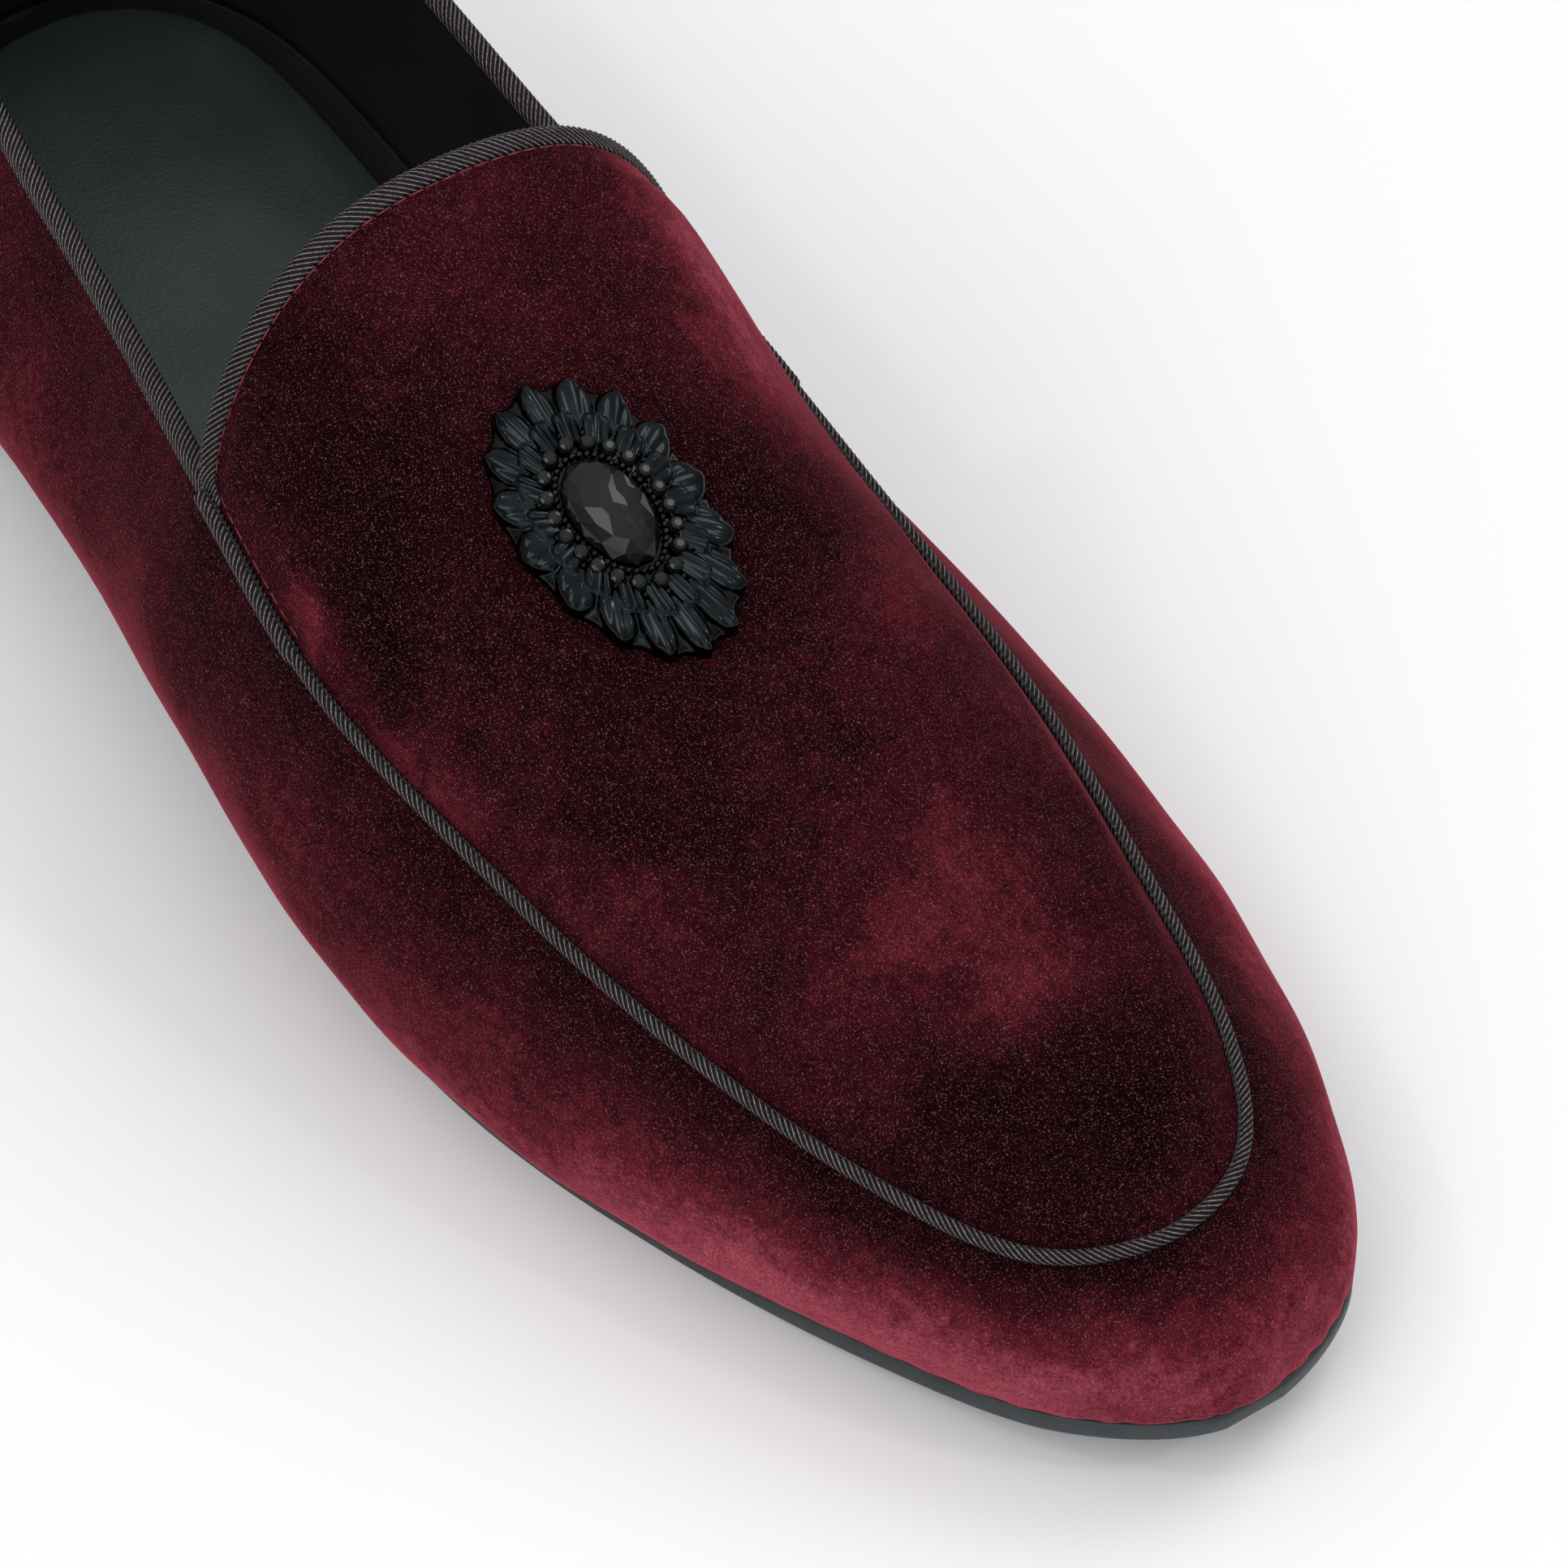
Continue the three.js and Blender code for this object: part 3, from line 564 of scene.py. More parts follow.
def make_leather(name, dark, light, roughness):
    """Corrected grain leather: fine pebble about 0.6 mm, slight tone changes, satin finish."""
    material, tree, shader, place = start_material(name)
    pebble = add(tree, "ShaderNodeTexVoronoi", {"Vector": place, "Scale": 1500.0, "Randomness": 1.0})
    # Tone changes about 30 mm across
    tone = add(tree, "ShaderNodeTexNoise", {"Vector": place, "Scale": 30.0, "Detail": 3.0}).outputs["Fac"]
    colour = ramp(add(tree, "ShaderNodeValToRGB", {"Fac": tone}), [(0.3, dark), (0.75, light)])
    grain = {"Strength": 0.35, "Distance": 0.0002, "Height": pebble.outputs["Distance"]}
    height = add(tree, "ShaderNodeBump", grain)
    feed(shader, {"Base Color": colour, "Normal": height.outputs["Normal"]})
    feed(shader, {"Roughness": roughness, "Specular IOR Level": 0.4})
    return material


def make_sole_rubber():
    """Moulded rubber: dark slate, smooth, dull, faint handling marks about 6 mm across."""
    material, tree, shader, place = start_material("moulded_rubber")
    handling = {"Vector": place, "Scale": 160.0, "Detail": 5.0, "Roughness": 0.7}
    marks = add(tree, "ShaderNodeTexNoise", handling).outputs["Fac"]
    tone = add(tree, "ShaderNodeValToRGB", {"Fac": marks})
    rough = add(tree, "ShaderNodeMapRange", {"Value": marks, "To Min": 0.42, "To Max": 0.62})
    height = add(tree, "ShaderNodeBump", {"Strength": 0.12, "Distance": 0.0002, "Height": marks})
    feed(shader, {"Base Color": ramp(tone, [(0.3, "#1a2023"), (0.75, "#2d3639")])})
    feed(shader, {"Roughness": rough.outputs["Result"], "Normal": height.outputs["Normal"]})
    return material


def make_black_metal():
    """Black nickel plate on cast zinc: near black metal, polished and duller spots about 4 mm across."""
    material, tree, shader, place = start_material("black_nickel")
    cast = add(tree, "ShaderNodeTexNoise", {"Vector": place, "Scale": 250.0, "Detail": 2.0}).outputs["Fac"]
    rough = add(tree, "ShaderNodeMapRange", {"Value": cast, "To Min": 0.08, "To Max": 0.2})
    tone = add(tree, "ShaderNodeValToRGB", {"Fac": cast})
    feed(shader, {"Base Color": ramp(tone, [(0.3, "#1b1e20"), (0.8, "#2c3032")])})
    feed(shader, {"Roughness": rough.outputs["Result"], "Metallic": 1.0})
    return material


def make_jet_glass():
    """Cut black glass: deep, hard and glossy, with faint tone changes about 2 mm across."""
    material, tree, shader, place = start_material("jet_glass")
    tone = add(tree, "ShaderNodeTexNoise", {"Vector": place, "Scale": 500.0, "Detail": 1.0}).outputs["Fac"]
    colour = ramp(add(tree, "ShaderNodeValToRGB", {"Fac": tone}), [(0.3, "#030404"), (0.8, "#101315")])
    feed(shader, {"Base Color": colour, "Roughness": 0.05, "Specular IOR Level": 0.35})
    return material


def make_thread():
    """Polyester sewing thread, wine red, a little lighter than the velvet, its twist about 0.8 mm long."""
    material, tree, shader, place = start_material("sewing_thread")
    twist = add(tree, "ShaderNodeTexNoise", {"Vector": place, "Scale": 1200.0, "Detail": 2.0}).outputs["Fac"]
    colour = ramp(add(tree, "ShaderNodeValToRGB", {"Fac": twist}), [(0.3, "#4c121c"), (0.75, "#96363f")])
    feed(shader, {"Base Color": colour, "Roughness": 0.5})
    return material


VELVET = make_velvet()
TAPE = make_tape()
LINING = make_leather("black_lining_leather", "#0b0c0c", "#181818", 0.55)
LINING_EDGE = make_leather("lining_edge_leather", "#1f2625", "#333c3a", 0.6)
BOARD = make_leather("insole_board", "#14110f", "#221d1a", 0.8)
INSOLE_LEATHER = make_leather("insole_leather", "#222a2a", "#333e3e", 0.5)
RUBBER = make_sole_rubber()
METAL = make_black_metal()
GLASS = make_jet_glass()
THREAD = make_thread()


# Upper
SEAM_LINE = edge_point(np.linspace(NOTCH_OUTER, NOTCH_INNER, 700))
TONGUE_LINE = apron_point(np.full(240, 2.0), np.linspace(-1, 1, 240))

# Painted light and shade on the apron's pile, with a little brushed nap: lighter patches on the gathers, toe
# ridges and far shoulder where light falls, darker ones in the hollows, below the near shoulder and round
# the brooch where shade falls: centre x and y, half length and width, turn in degrees, strength
APRON_NAP_AND_PAINTED_LIGHT = [
    ("far_shoulder", 147, 25, 23, 7, -6, 0.4),
    ("tongue_middle", 143, 1, 22, 15, 0, 0.03),
    ("near_shoulder_hollow", 147.5, -31, 18, 9, 0, -0.18),
    ("near_notch_hollow", 162, -30, 14, 8, 0, -0.12),
    ("gather_1", 160.4, -42, 7, 2.6, 0, 0.34),
    ("gather_1_shade", 171, -39.5, 7, 4, 0, -0.3),
    ("gather_2", 177, -42.2, 5, 2.6, 5, 0.26),
    ("gather_3", 188.5, -41, 8, 2.8, 10, 0.22),
    ("near_flank", 201, -17, 32, 20, 0, -0.1),
    ("gather_4", 213.5, -31, 13, 4.5, 25, 0.18),
    ("toe_streak_1", 235, -3, 15, 4.5, 105, 0.12),
    ("toe_streak_2", 249, 8, 14, 4.2, 100, 0.12),
    ("toe_crown", 241, 6, 22, 14, 0, 0.1),
    ("toe_hollow", 266, 6, 13, 13, 0, -0.3),
    ("toe_hollow_outer", 262, -10, 10, 8, 0, -0.16),
    ("far_flank", 199, 25, 21, 8, -4, 0.12),
    ("far_brooch_shade", 181, 14, 9, 6, 0, -0.16),
    ("far_seam", 170, 33.5, 11, 3.5, 0, 0.12),
    ("brooch_shade", 175, -5, 26, 17, 0, -0.1),
]
# Painted light on the skirt's pile, standing in for sheen and light thrown up off the floor: how much
# lighter it is at the foot than half way up, at stations round the shoe
SKIRT_PAINTED_FOOT_LIGHT = [
    (0, 0.14), (3, 0.18), (5, 0.2), (6, 0.24), (7, 0.34), (8, 0.48), (9, 0.54), (10, 0.48), (11, 0.4),
    (12, 0.38), (13, 0.42), (14, 0.5), (15, 0.46), (16, 0.34), (17, 0.2), (19, 0.14), (22, 0.14),
]
# Soft ridges and troughs of the apron: centre x and y, half length and width, turn in degrees, height
APRON_CREASES = [
    ("gather_1", 160.4, -41, 8, 3.2, 25, 0.5),
    ("gather_1_trough", 169.5, -39, 8, 3.4, 58, -0.6),
    ("gather_2", 176, -41, 5.5, 2.8, 35, 0.4),
    ("gather_2_trough", 182, -40, 7, 3, 55, -0.4),
    ("gather_3", 188, -39.5, 7, 3, 35, 0.4),
    ("gather_3_trough", 200, -36, 8, 3.6, 50, -0.3),
    ("gather_4", 213, -30.5, 11, 4, 35, 0.35),
    ("gather_4_trough", 224, -26, 8, 4, 50, -0.25),
    ("toe_ridge_1", 235, -3, 16, 5, 105, 0.35),
    ("toe_trough", 242, 2, 15, 4, 102, -0.3),
    ("toe_ridge_2", 249, 8, 15, 4.5, 100, 0.3),
    ("toe_hollow", 266, 5, 14, 12, 0, -0.4),
    ("near_shoulder", 147, -31, 19, 9, 0, -0.5),
    ("far_shoulder", 148, 20, 20, 7, -8, 0.4),
]


def ripple(a, b, seed):
    """Soft unevenness of cloth, about -1 to 1: a sum of slow waves over two lengths in millimetres."""
    draw = np.random.default_rng(seed)
    total = 0.0
    for wave in draw.uniform(14, 46, 9):
        angle, phase = draw.uniform(0, 2 * math.pi, 2)
        total = total + np.sin(2 * math.pi * (a * math.cos(angle) + b * math.sin(angle)) / wave + phase)
    return total / 4


def patches(table, x, y):
    """Sum of the table's turned oval bells, their edges made uneven by moving the place a little."""
    x = x + 2.0 * ripple(1.7 * x, 1.7 * y, 21)
    y = y + 2.0 * ripple(1.7 * x, 1.7 * y, 22)
    total = 0.0
    for _, at_x, at_y, long, wide, turn, strength in table:
        c, s = math.cos(math.radians(turn)), math.sin(math.radians(turn))
        along, across = (x - at_x) * c + (y - at_y) * s, (y - at_y) * c - (x - at_x) * s
        total = total + strength * np.exp(-((along / long) ** 2) - (across / wide) ** 2)
    return total


def make_lined_velvet(name, node, outer, inner, faces, materials, slots, nap_and_painted_light):
    """Slab of velvet outside and lining inside; the lining has no brushed patches and no painted light and
    shade.
    """
    points = np.concatenate([outer.reshape(-1, 3), inner.reshape(-1, 3)])
    nap_and_painted_light = np.concatenate([nap_and_painted_light.ravel(), 0 * nap_and_painted_light.ravel()])
    piece = make_piece(name, points, faces, materials, slots, nap_and_painted_light=nap_and_painted_light)
    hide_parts(node)


def make_skirt():
    """Velvet wall from the sole to topline and seam: the wall surface with soft unevenness, lined inside.

    Round the toe the foot is drawn in small lasting pleats, a cosine along the foot that dies out upwards.
    """
    rounds, heights = AROUND * 24, 41
    u, h = np.meshgrid(np.arange(rounds) * AROUND / rounds, np.linspace(0, 1, heights), indexing="ij")
    base = wall_point(u, h)
    normal = grid_normals(base, True)
    free = soft_step(0, 0.2, h) * soft_step(0, 0.12, 1 - h)
    toe = bump_at(u, TOE_TIP, 2.2)
    turns = u * TOE_PLEATS + 0.3 * ripple(u * 40, h * 20, 3)
    pleats = np.cos(2 * math.pi * turns) * (1 - soft_step(0.02, 0.2, h))
    lift = SKIRT_UNEVEN * free * ripple(u * 33, h * 55, 4) + toe * PLEAT_DEPTH * (pleats - 1)
    outer = base + normal * lift[..., None]
    inner = base - normal * WALL_THICKNESS
    faces, outside = slab_quads(rounds, heights, True)
    number = np.arange(len(faces))
    lining = number - outside
    edge = (lining >= 0) & (lining < outside) & (lining % (heights - 1) >= heights - 4)
    slots = np.where(number < outside, 0, np.where(edge, 2, 1))
    uneven = ripple(u * 33, h * 55, 8)
    # Painted light and shade: lighter low on the wall, darker just under the seam where the piping shades
    # it; uneven adds random tone
    painted_foot_light = level_curve(SKIRT_PAINTED_FOOT_LIGHT, u) * (1 - soft_step(0.22, 0.95, h + 0.06 * uneven))
    seam_shade = bump_at(h, 1.0, 0.2) * soft_step(4, 6, u) * (1 - soft_step(16, 18, u))
    nap_and_painted_light = 0.04 * uneven + painted_foot_light - 0.14 * seam_shade
    materials = [VELVET, LINING, LINING_EDGE]
    make_lined_velvet("velvet_skirt", "upper", outer, inner, faces, materials, slots, nap_and_painted_light)


def apron_height(points):
    """Height of the puffed apron over its bare surface: full inside, rolling down to its edges."""
    seam = distance_to(points, SEAM_LINE)
    tongue = distance_to(points, TONGUE_LINE)
    seam_roll = 1.15 * soft_step(-1.5, 6.5, seam) - 0.15
    return APRON_PUFF * seam_roll * soft_step(TONGUE_TAPE_LEG - 0.8, 7, tongue)


def make_apron():
    """Velvet apron and tongue in one, puffed between its seams, creased at listed places, with the lining
    below.
    """
    across = 161
    even = np.linspace(-1, 1, across)
    k_line = (0.55 * even + 0.45 * np.sin(math.pi / 2 * even)) * 0.998
    v_line = np.concatenate([0.006 + 0.994 * np.linspace(0, 1, 210) ** 1.15, 1 + np.linspace(0, 1, 17)[1:]])
    k, v = np.meshgrid(k_line, v_line, indexing="ij")
    base = apron_point(v, k)
    normal = apron_normal(v, k)
    x, y = base[..., 0], base[..., 1]
    free = soft_step(0.5, 5, distance_to(base, SEAM_LINE))
    creases = APRON_UNEVEN * ripple(x, y * 1.3, 5) + patches(APRON_CREASES, x, y)
    outer = base + normal * (apron_height(base) + free * creases)[..., None]
    inner = base - normal * WALL_THICKNESS
    faces, outside = slab_quads(across, len(v_line), False)
    slots = np.where(np.arange(len(faces)) < outside, 0, 1)
    # Pile values: a little random tone plus painted light on gathers and ridges and painted shade in hollows
    # and round the brooch
    nap_and_painted_light = 0.03 * ripple(x, y * 1.3, 9) + patches(APRON_NAP_AND_PAINTED_LIGHT, x, y)
    make_lined_velvet("velvet_apron", "apron", outer, inner, faces, [VELVET, LINING], slots, nap_and_painted_light)


# Tape
def line_length(points):
    """Length along a line at each of its points."""
    return np.concatenate([[0], np.cumsum(np.linalg.norm(np.diff(points, axis=0), axis=1))])


def along_line(where, length, values):
    """Directions at lengths along a line, from the directions at its points."""
    return unit(np.stack([np.interp(where, length, values[:, i]) for i in range(3)], -1))


def even_line(points, spacing):
    """Points at equal steps along a dense line, and their shares of its length."""
    length = line_length(points)
    where = np.linspace(0, length[-1], int(length[-1] / spacing) + 1)
    return np.stack([np.interp(where, length, points[:, i]) for i in range(3)], -1), where / length[-1]


def even_frames(points, normals, spacing):
    """Points at equal steps along a dense line, and the directions out of the surface there."""
    even, share = even_line(points, spacing)
    length = line_length(points)
    return even, along_line(share * length[-1], length, normals)


def tape_frames(path, normal):
    """Directions across and out of a tape on a path with surface normals."""
    along = unit(np.gradient(path, axis=0))
    past = unit(np.cross(normal, along))
    return past, np.cross(along, past)


def seam_normals(u):
    """Surface normal on the seam: mean of the wall's and the apron's."""
    step = 0.004
    top = np.full_like(u, 0.996)
    round_shoe = wall_point(u + step, top) - wall_point(u - step, top)
    up_wall = edge_point(u) - wall_point(u, np.full_like(u, 0.97))
    wall = unit(np.cross(round_shoe, up_wall))
    outer_v, inner_v = (TOE_TIP - u) / (TOE_TIP - NOTCH_OUTER), (u - TOE_TIP) / (NOTCH_INNER - TOE_TIP)
    v = np.clip(np.maximum(outer_v, inner_v), 0.03, 0.99)
    apron = apron_normal(v, np.where(u < TOE_TIP, -0.98, 0.98))
    return unit(wall + apron)


def make_piping():
    """Corded tape in the apron seam: a ribbed round, thicker beside the tongue down to a joint."""
    dense = np.linspace(NOTCH_OUTER, NOTCH_INNER, 3000)
    path, share = even_line(edge_point(dense), RIB_PITCH / 6)
    length = line_length(edge_point(dense))
    u = np.interp(share * length[-1], length, dense)
    past, face = tape_frames(path, seam_normals(u))
    past_inner = soft_step(JOINT_INNER, JOINT_INNER + 0.03, u)
    thin = soft_step(JOINT_OUTER - 0.03, JOINT_OUTER, u) * (1 - past_inner)
    radius = TONGUE_PIPING_RADIUS + (PIPING_RADIUS - TONGUE_PIPING_RADIUS) * thin
    sides = 18
    angle = np.linspace(0, -2 * math.pi, sides, endpoint=False)
    profile = np.stack([np.cos(angle), np.sin(angle)], -1)
    centre = path + face * (CORD_SEAT * radius)[:, None]
    across, out = past * radius[:, None], face * radius[:, None]
    piece = carried_profile("apron_cord", centre, across, out, profile, np.full(sides, CORD_RIB_HEIGHT))
    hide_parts("apron_piping")


def folded_profile(leg):
    """Section of a tape folded over the edge: outer leg, round fold, inner leg, back along its inside."""
    outer_face, inner_face = TAPE_THICKNESS, -WALL_THICKNESS - TAPE_THICKNESS
    half, middle = (outer_face - inner_face) / 2, (outer_face + inner_face) / 2
    angle = np.linspace(math.pi / 2, -math.pi / 2, 9)
    fold = np.stack([0.1 + 0.7 * half * np.cos(angle), middle + half * np.sin(angle)], -1)
    along = np.linspace(-leg, 0, 6)[:-1]
    outer_leg = np.stack([along, np.full(5, outer_face)], -1)
    outer_leg[0, 1] -= 0.3
    inner_leg = np.stack([along, np.full(5, inner_face)], -1)[::-1]
    outside = np.concatenate([outer_leg, fold, inner_leg])
    share = np.linspace(0, 1, len(outside))
    corners = [0, 0.35, 0.65, 1]
    below = -WALL_THICKNESS - 0.1
    inside_past = np.interp(share, corners, [-leg, 0.1, 0.1, -leg])
    inside_face = np.interp(share, corners, [below, below, 0.1, 0.1])
    inside = np.stack([inside_past, inside_face], -1)
    ribs = np.concatenate([np.full(len(outside), TAPE_RIB_HEIGHT), np.zeros(len(inside))])
    return np.concatenate([outside, inside]), ribs


def make_binding(name, node, dense, normals, leg):
    """Folded tape along an edge line."""
    path, out = even_frames(dense, normals, RIB_PITCH / 5)
    past, face = tape_frames(path, out)
    profile, ribs = folded_profile(leg)
    piece = carried_profile(name, path, past, face, profile, ribs)
    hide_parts(node)


def tongue_edge():
    """Dense line of the tongue's edge and the apron's directions out along it."""
    k = np.sin(np.linspace(-math.pi / 2, math.pi / 2, 900)) * 0.9995
    normals = apron_normal(np.full_like(k, 1.6), np.clip(k, -0.97, 0.97))
    return apron_point(np.full_like(k, 2.0), k), normals


def rounded(values, reach):
    """Line eased round its corners: each point is the mean of its neighbours within reach places."""
    padded = np.concatenate([np.repeat(values[:1], reach, 0), values, np.repeat(values[-1:], reach, 0)])
    total = np.concatenate([np.zeros((1, 3)), np.cumsum(padded, 0)])
    return (total[2 * reach + 1 :] - total[: -2 * reach - 1]) / (2 * reach + 1)


def tongue_tape_line():
    """Line of the tongue's tape: its edge, run on at both ends a little down the seam, corners eased."""
    line, normals = tongue_edge()
    down_outer = np.linspace(NOTCH_OUTER + TAPE_OVERLAP, NOTCH_OUTER, 40)
    down_inner = np.linspace(NOTCH_INNER, NOTCH_INNER - TAPE_OVERLAP, 40)
    ends = [seam_normals(down) for down in (down_outer, down_inner)]
    line = np.concatenate([edge_point(down_outer), line, edge_point(down_inner)])
    normals = np.concatenate([ends[0], normals, ends[1]])
    even, out = even_frames(line, normals, 0.25)
    ease = 14
    return rounded(even, ease), unit(rounded(out, ease))


def make_bindings():
    """Tape over the topline from notch to notch and over the tongue's edge."""
    u = np.linspace(NOTCH_INNER, NOTCH_OUTER + AROUND, 1500)
    top = np.full_like(u, 1.0)
    round_shoe = edge_point(u + 0.01) - edge_point(u - 0.01)
    normals = unit(np.cross(round_shoe, wall_point(u, top) - wall_point(u, top - 0.05)))
    make_binding("topline_tape", "topline_binding", edge_point(u), normals, TOPLINE_TAPE_LEG)
    line, normals = tongue_tape_line()
    make_binding("tongue_tape", "tongue_binding", line, normals, TONGUE_TAPE_LEG)


def make_stitches():
    """Wine red stitches beside the tongue's tape and down the near seam to the joint."""
    line, normals = tongue_edge()
    past, face = tape_frames(line, normals)
    inward = line - past * (TONGUE_TAPE_LEG + 0.2)
    tongue = inward + face * (apron_height(inward) + 0.02)[:, None]
    u = np.linspace(NOTCH_OUTER + 0.1, JOINT_OUTER, 200)
    v = (TOE_TIP - u) / (TOE_TIP - NOTCH_OUTER)
    k = np.full_like(v, -0.962)
    base = apron_point(v, k)
    out = apron_normal(v, k)
    seam = base + out * (apron_height(base) + 0.02)[:, None]
    rows = [stitches(tongue[40:-40], face[40:-40], *STITCH), stitches(seam, out, *STITCH)]
    piece = make_piece("edge_stitches", *joined(*rows), [THREAD])


# Sole
def outline_rows(margin, t):
    """x, outer y and inner y of the sole's outline at shares t of its length, moved out by margin."""
    u = np.linspace(0, AROUND, 4001)
    ring = foot_point(u) + outward(u) * margin
    tip = TOE_TIP * 4000 // AROUND
    outer, inner = ring[: tip + 1], ring[tip:][::-1]
    back = foot_point(np.zeros(1))[0, 0] - margin
    front = foot_point(np.full(1, float(TOE_TIP)))[0, 0] + margin
    x = back + (front - back) * t
    sort_outer, sort_inner = np.argsort(outer[:, 0]), np.argsort(inner[:, 0])
    y_outer = np.interp(x, outer[sort_outer, 0], outer[sort_outer, 1])
    y_inner = np.interp(x, inner[sort_inner, 0], inner[sort_inner, 1])
    return x, y_outer, y_inner


def make_plate(name, node, levels, share, materials, bands=None, rows=220):
    """Plate with the sole's outline: a ring at each level (margin, height of x), closed by rows across it.

    bands gives the material of the floor, of each band between levels and of the top.
    """
    across = 13
    even = np.linspace(0, 1, rows)
    t = np.clip(share * (0.3 * even + 0.7 * (0.5 - 0.5 * np.cos(math.pi * even))), 0.0012, 0.9988)
    spread = np.linspace(0, 1, across)[:, None]
    rings, caps = [], []
    for margin, height in levels:
        x, outer, inner = outline_rows(margin, t)
        z = height(x)
        rings.append(np.concatenate([np.stack([x, outer, z], -1), np.stack([x, inner, z], -1)[::-1]]))
        y = outer[None] + (inner - outer)[None] * spread
        caps.append(np.stack([np.broadcast_to(x, y.shape), y, np.broadcast_to(z, y.shape)], -1))
    count = 2 * rows
    ring = np.arange(count)
    after = (ring + 1) % count
    middle_count = (across - 2) * rows

    def cap(level, start):
        first = level * count + np.arange(rows)
        last = level * count + count - 1 - np.arange(rows)
        middle = start + np.arange(middle_count).reshape(across - 2, rows)
        table = np.concatenate([first[None], middle, last[None]])
        return np.stack([table[:-1, :-1], table[:-1, 1:], table[1:, 1:], table[1:, :-1]], -1).reshape(-1, 4)

    total = len(levels) * count
    quads = [cap(0, total)[:, ::-1]]
    for i in range(len(levels) - 1):
        low, high = i * count, (i + 1) * count
        quads.append(np.stack([low + ring, low + after, high + after, high + ring], -1))
    quads.append(cap(len(levels) - 1, total + middle_count))
    points = np.concatenate(rings + [caps[0][1:-1].reshape(-1, 3), caps[-1][1:-1].reshape(-1, 3)])
    bands = bands or [0] * len(quads)
    slots = np.concatenate([np.full(len(band), index) for band, index in zip(quads, bands)])
    piece = make_piece(name, points, np.concatenate(quads), materials, slots)
    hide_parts(node)


def rim(margin, base, thickness, steps):
    """Levels of a plate from (inset, share) steps: margin less inset, base plus share of thickness."""
    return [(margin - inset, lambda x, f=f: base(x) + thickness * f) for inset, f in steps]


def level(x):
    """Floor height under x, for pieces with level faces."""
    return 0 * x


def insole_seat(x):
    """Height of the face that the insole lies on."""
    return underside(x) + SOLE_THICKNESS + GAP


def make_bottom():
    """Outsole with a rounded edge, heel block, top piece, and the insole: a board with a narrower sock."""
    rounded_edge = ((0.5, 0.0), (0.12, 0.1), (0.0, 0.25), (0.0, 0.75), (0.12, 0.9), (0.5, 1.0))
    sole = rim(SOLE_MARGIN, underside, SOLE_THICKNESS, rounded_edge)
    make_plate("outsole_plate", "outsole", sole, 1.0, [RUBBER])
    breast = HEEL_BREAST / LENGTH
    low, high = TOP_PIECE_THICKNESS, HEEL_HEIGHT
    block = rim(HEEL_MARGIN, level, 1.0, ((0.2, low), (0.0, low + 0.4), (0.0, high - 0.3), (0.1, high)))
    make_plate("heel_stack", "heel_block", block, breast, [RUBBER], rows=120)
    lift = rim(TOP_PIECE_MARGIN, level, 1.0, ((0.5, 0.0), (0.1, 0.4), (0.0, low - 0.3), (0.2, low)))
    make_plate("heel_lift", "heel_top_piece", lift, breast - 0.002, [RUBBER], rows=120)
    board_and_sock = ((0.0, 0.0), (0.0, 0.45), (0.3, 0.55), (4.2, 0.55), (4.3, 0.85), (4.9, 1.0))
    insole = rim(-WALL_THICKNESS - 1.0, insole_seat, INSOLE_THICKNESS, board_and_sock)
    bands = [0, 0, 0, 0, 1, 1, 1]
    make_plate("insole_sock", "insole", insole, 1.0, [BOARD, INSOLE_LEATHER], bands)


# Brooch
def brooch_place(rho, angle, lift):
    """Point of the brooch's oval at share rho of its radius (angle 0 to the toe), lift above the apron."""
    middle = np.zeros(1)
    station = np.full(1, BROOCH_STATION)
    ahead, back = apron_point(station + 0.01, middle), apron_point(station - 0.01, middle)
    along = np.linalg.norm(ahead - back) / 0.02
    inner, outer = apron_point(station, middle + 0.05), apron_point(station, middle - 0.05)
    across = np.linalg.norm(inner - outer) / 0.1
    v = BROOCH_STATION - 0.5 * BROOCH_LENGTH * rho * np.cos(angle) / along
    k = (BROOCH_SIDE + 0.5 * BROOCH_WIDTH * rho * np.sin(angle)) / across
    return apron_point(v, k) + apron_normal(v, k) * np.asarray(lift)[..., None]


def dome_height(rho):
    """Height of the brooch's bare dome over the apron surface."""
    return DOME_EDGE + DOME_RISE * np.sqrt(np.maximum(1 - rho**2.4, 0))


def petals(rho, angle, start, end, shift, height):
    """Ring of fluted shell petals between two radii: round across, rounded at the tip, three flutes each."""
    across = (angle * BROOCH_PETALS / (2 * math.pi) + shift) % 1 - 0.5
    out = np.clip((rho - start) / (end - start), 0, 1)
    half = 0.5 * np.sqrt(1 - np.clip((out - 0.45) / 0.55, 0, 1) ** 2) + 1e-6
    inside = np.clip(1 - (across / half) ** 2, 0, 1)
    flutes = 0.78 + 0.22 * np.abs(np.cos(1.5 * math.pi * across / 0.5))
    return height * inside**0.4 * flutes * (0.45 + 0.55 * out) * (rho > start) * (rho < end)


def even_angles(rho, count):
    """Angles at equal steps of length round the brooch's oval."""
    dense = np.linspace(0, 2 * math.pi, 721)
    length = line_length(brooch_place(np.full(721, rho), dense, np.zeros(721)))
    return np.interp(np.arange(count) / count * length[-1], length, dense)


def brooch_frames(rho, angle, sunk):
    """Places on the dome, sunk into it a little, with radial, around and outward directions."""
    rho = np.full_like(angle, rho)

    def on_dome(r, a):
        return brooch_place(r, a, dome_height(r))

    radial = unit(on_dome(rho + 0.01, angle) - on_dome(rho - 0.01, angle))
    around = unit(on_dome(rho, angle + 0.02) - on_dome(rho, angle - 0.02))
    up = unit(np.cross(radial, around))
    return on_dome(rho, angle) - up * sunk, unit(np.cross(around, up)), around, up


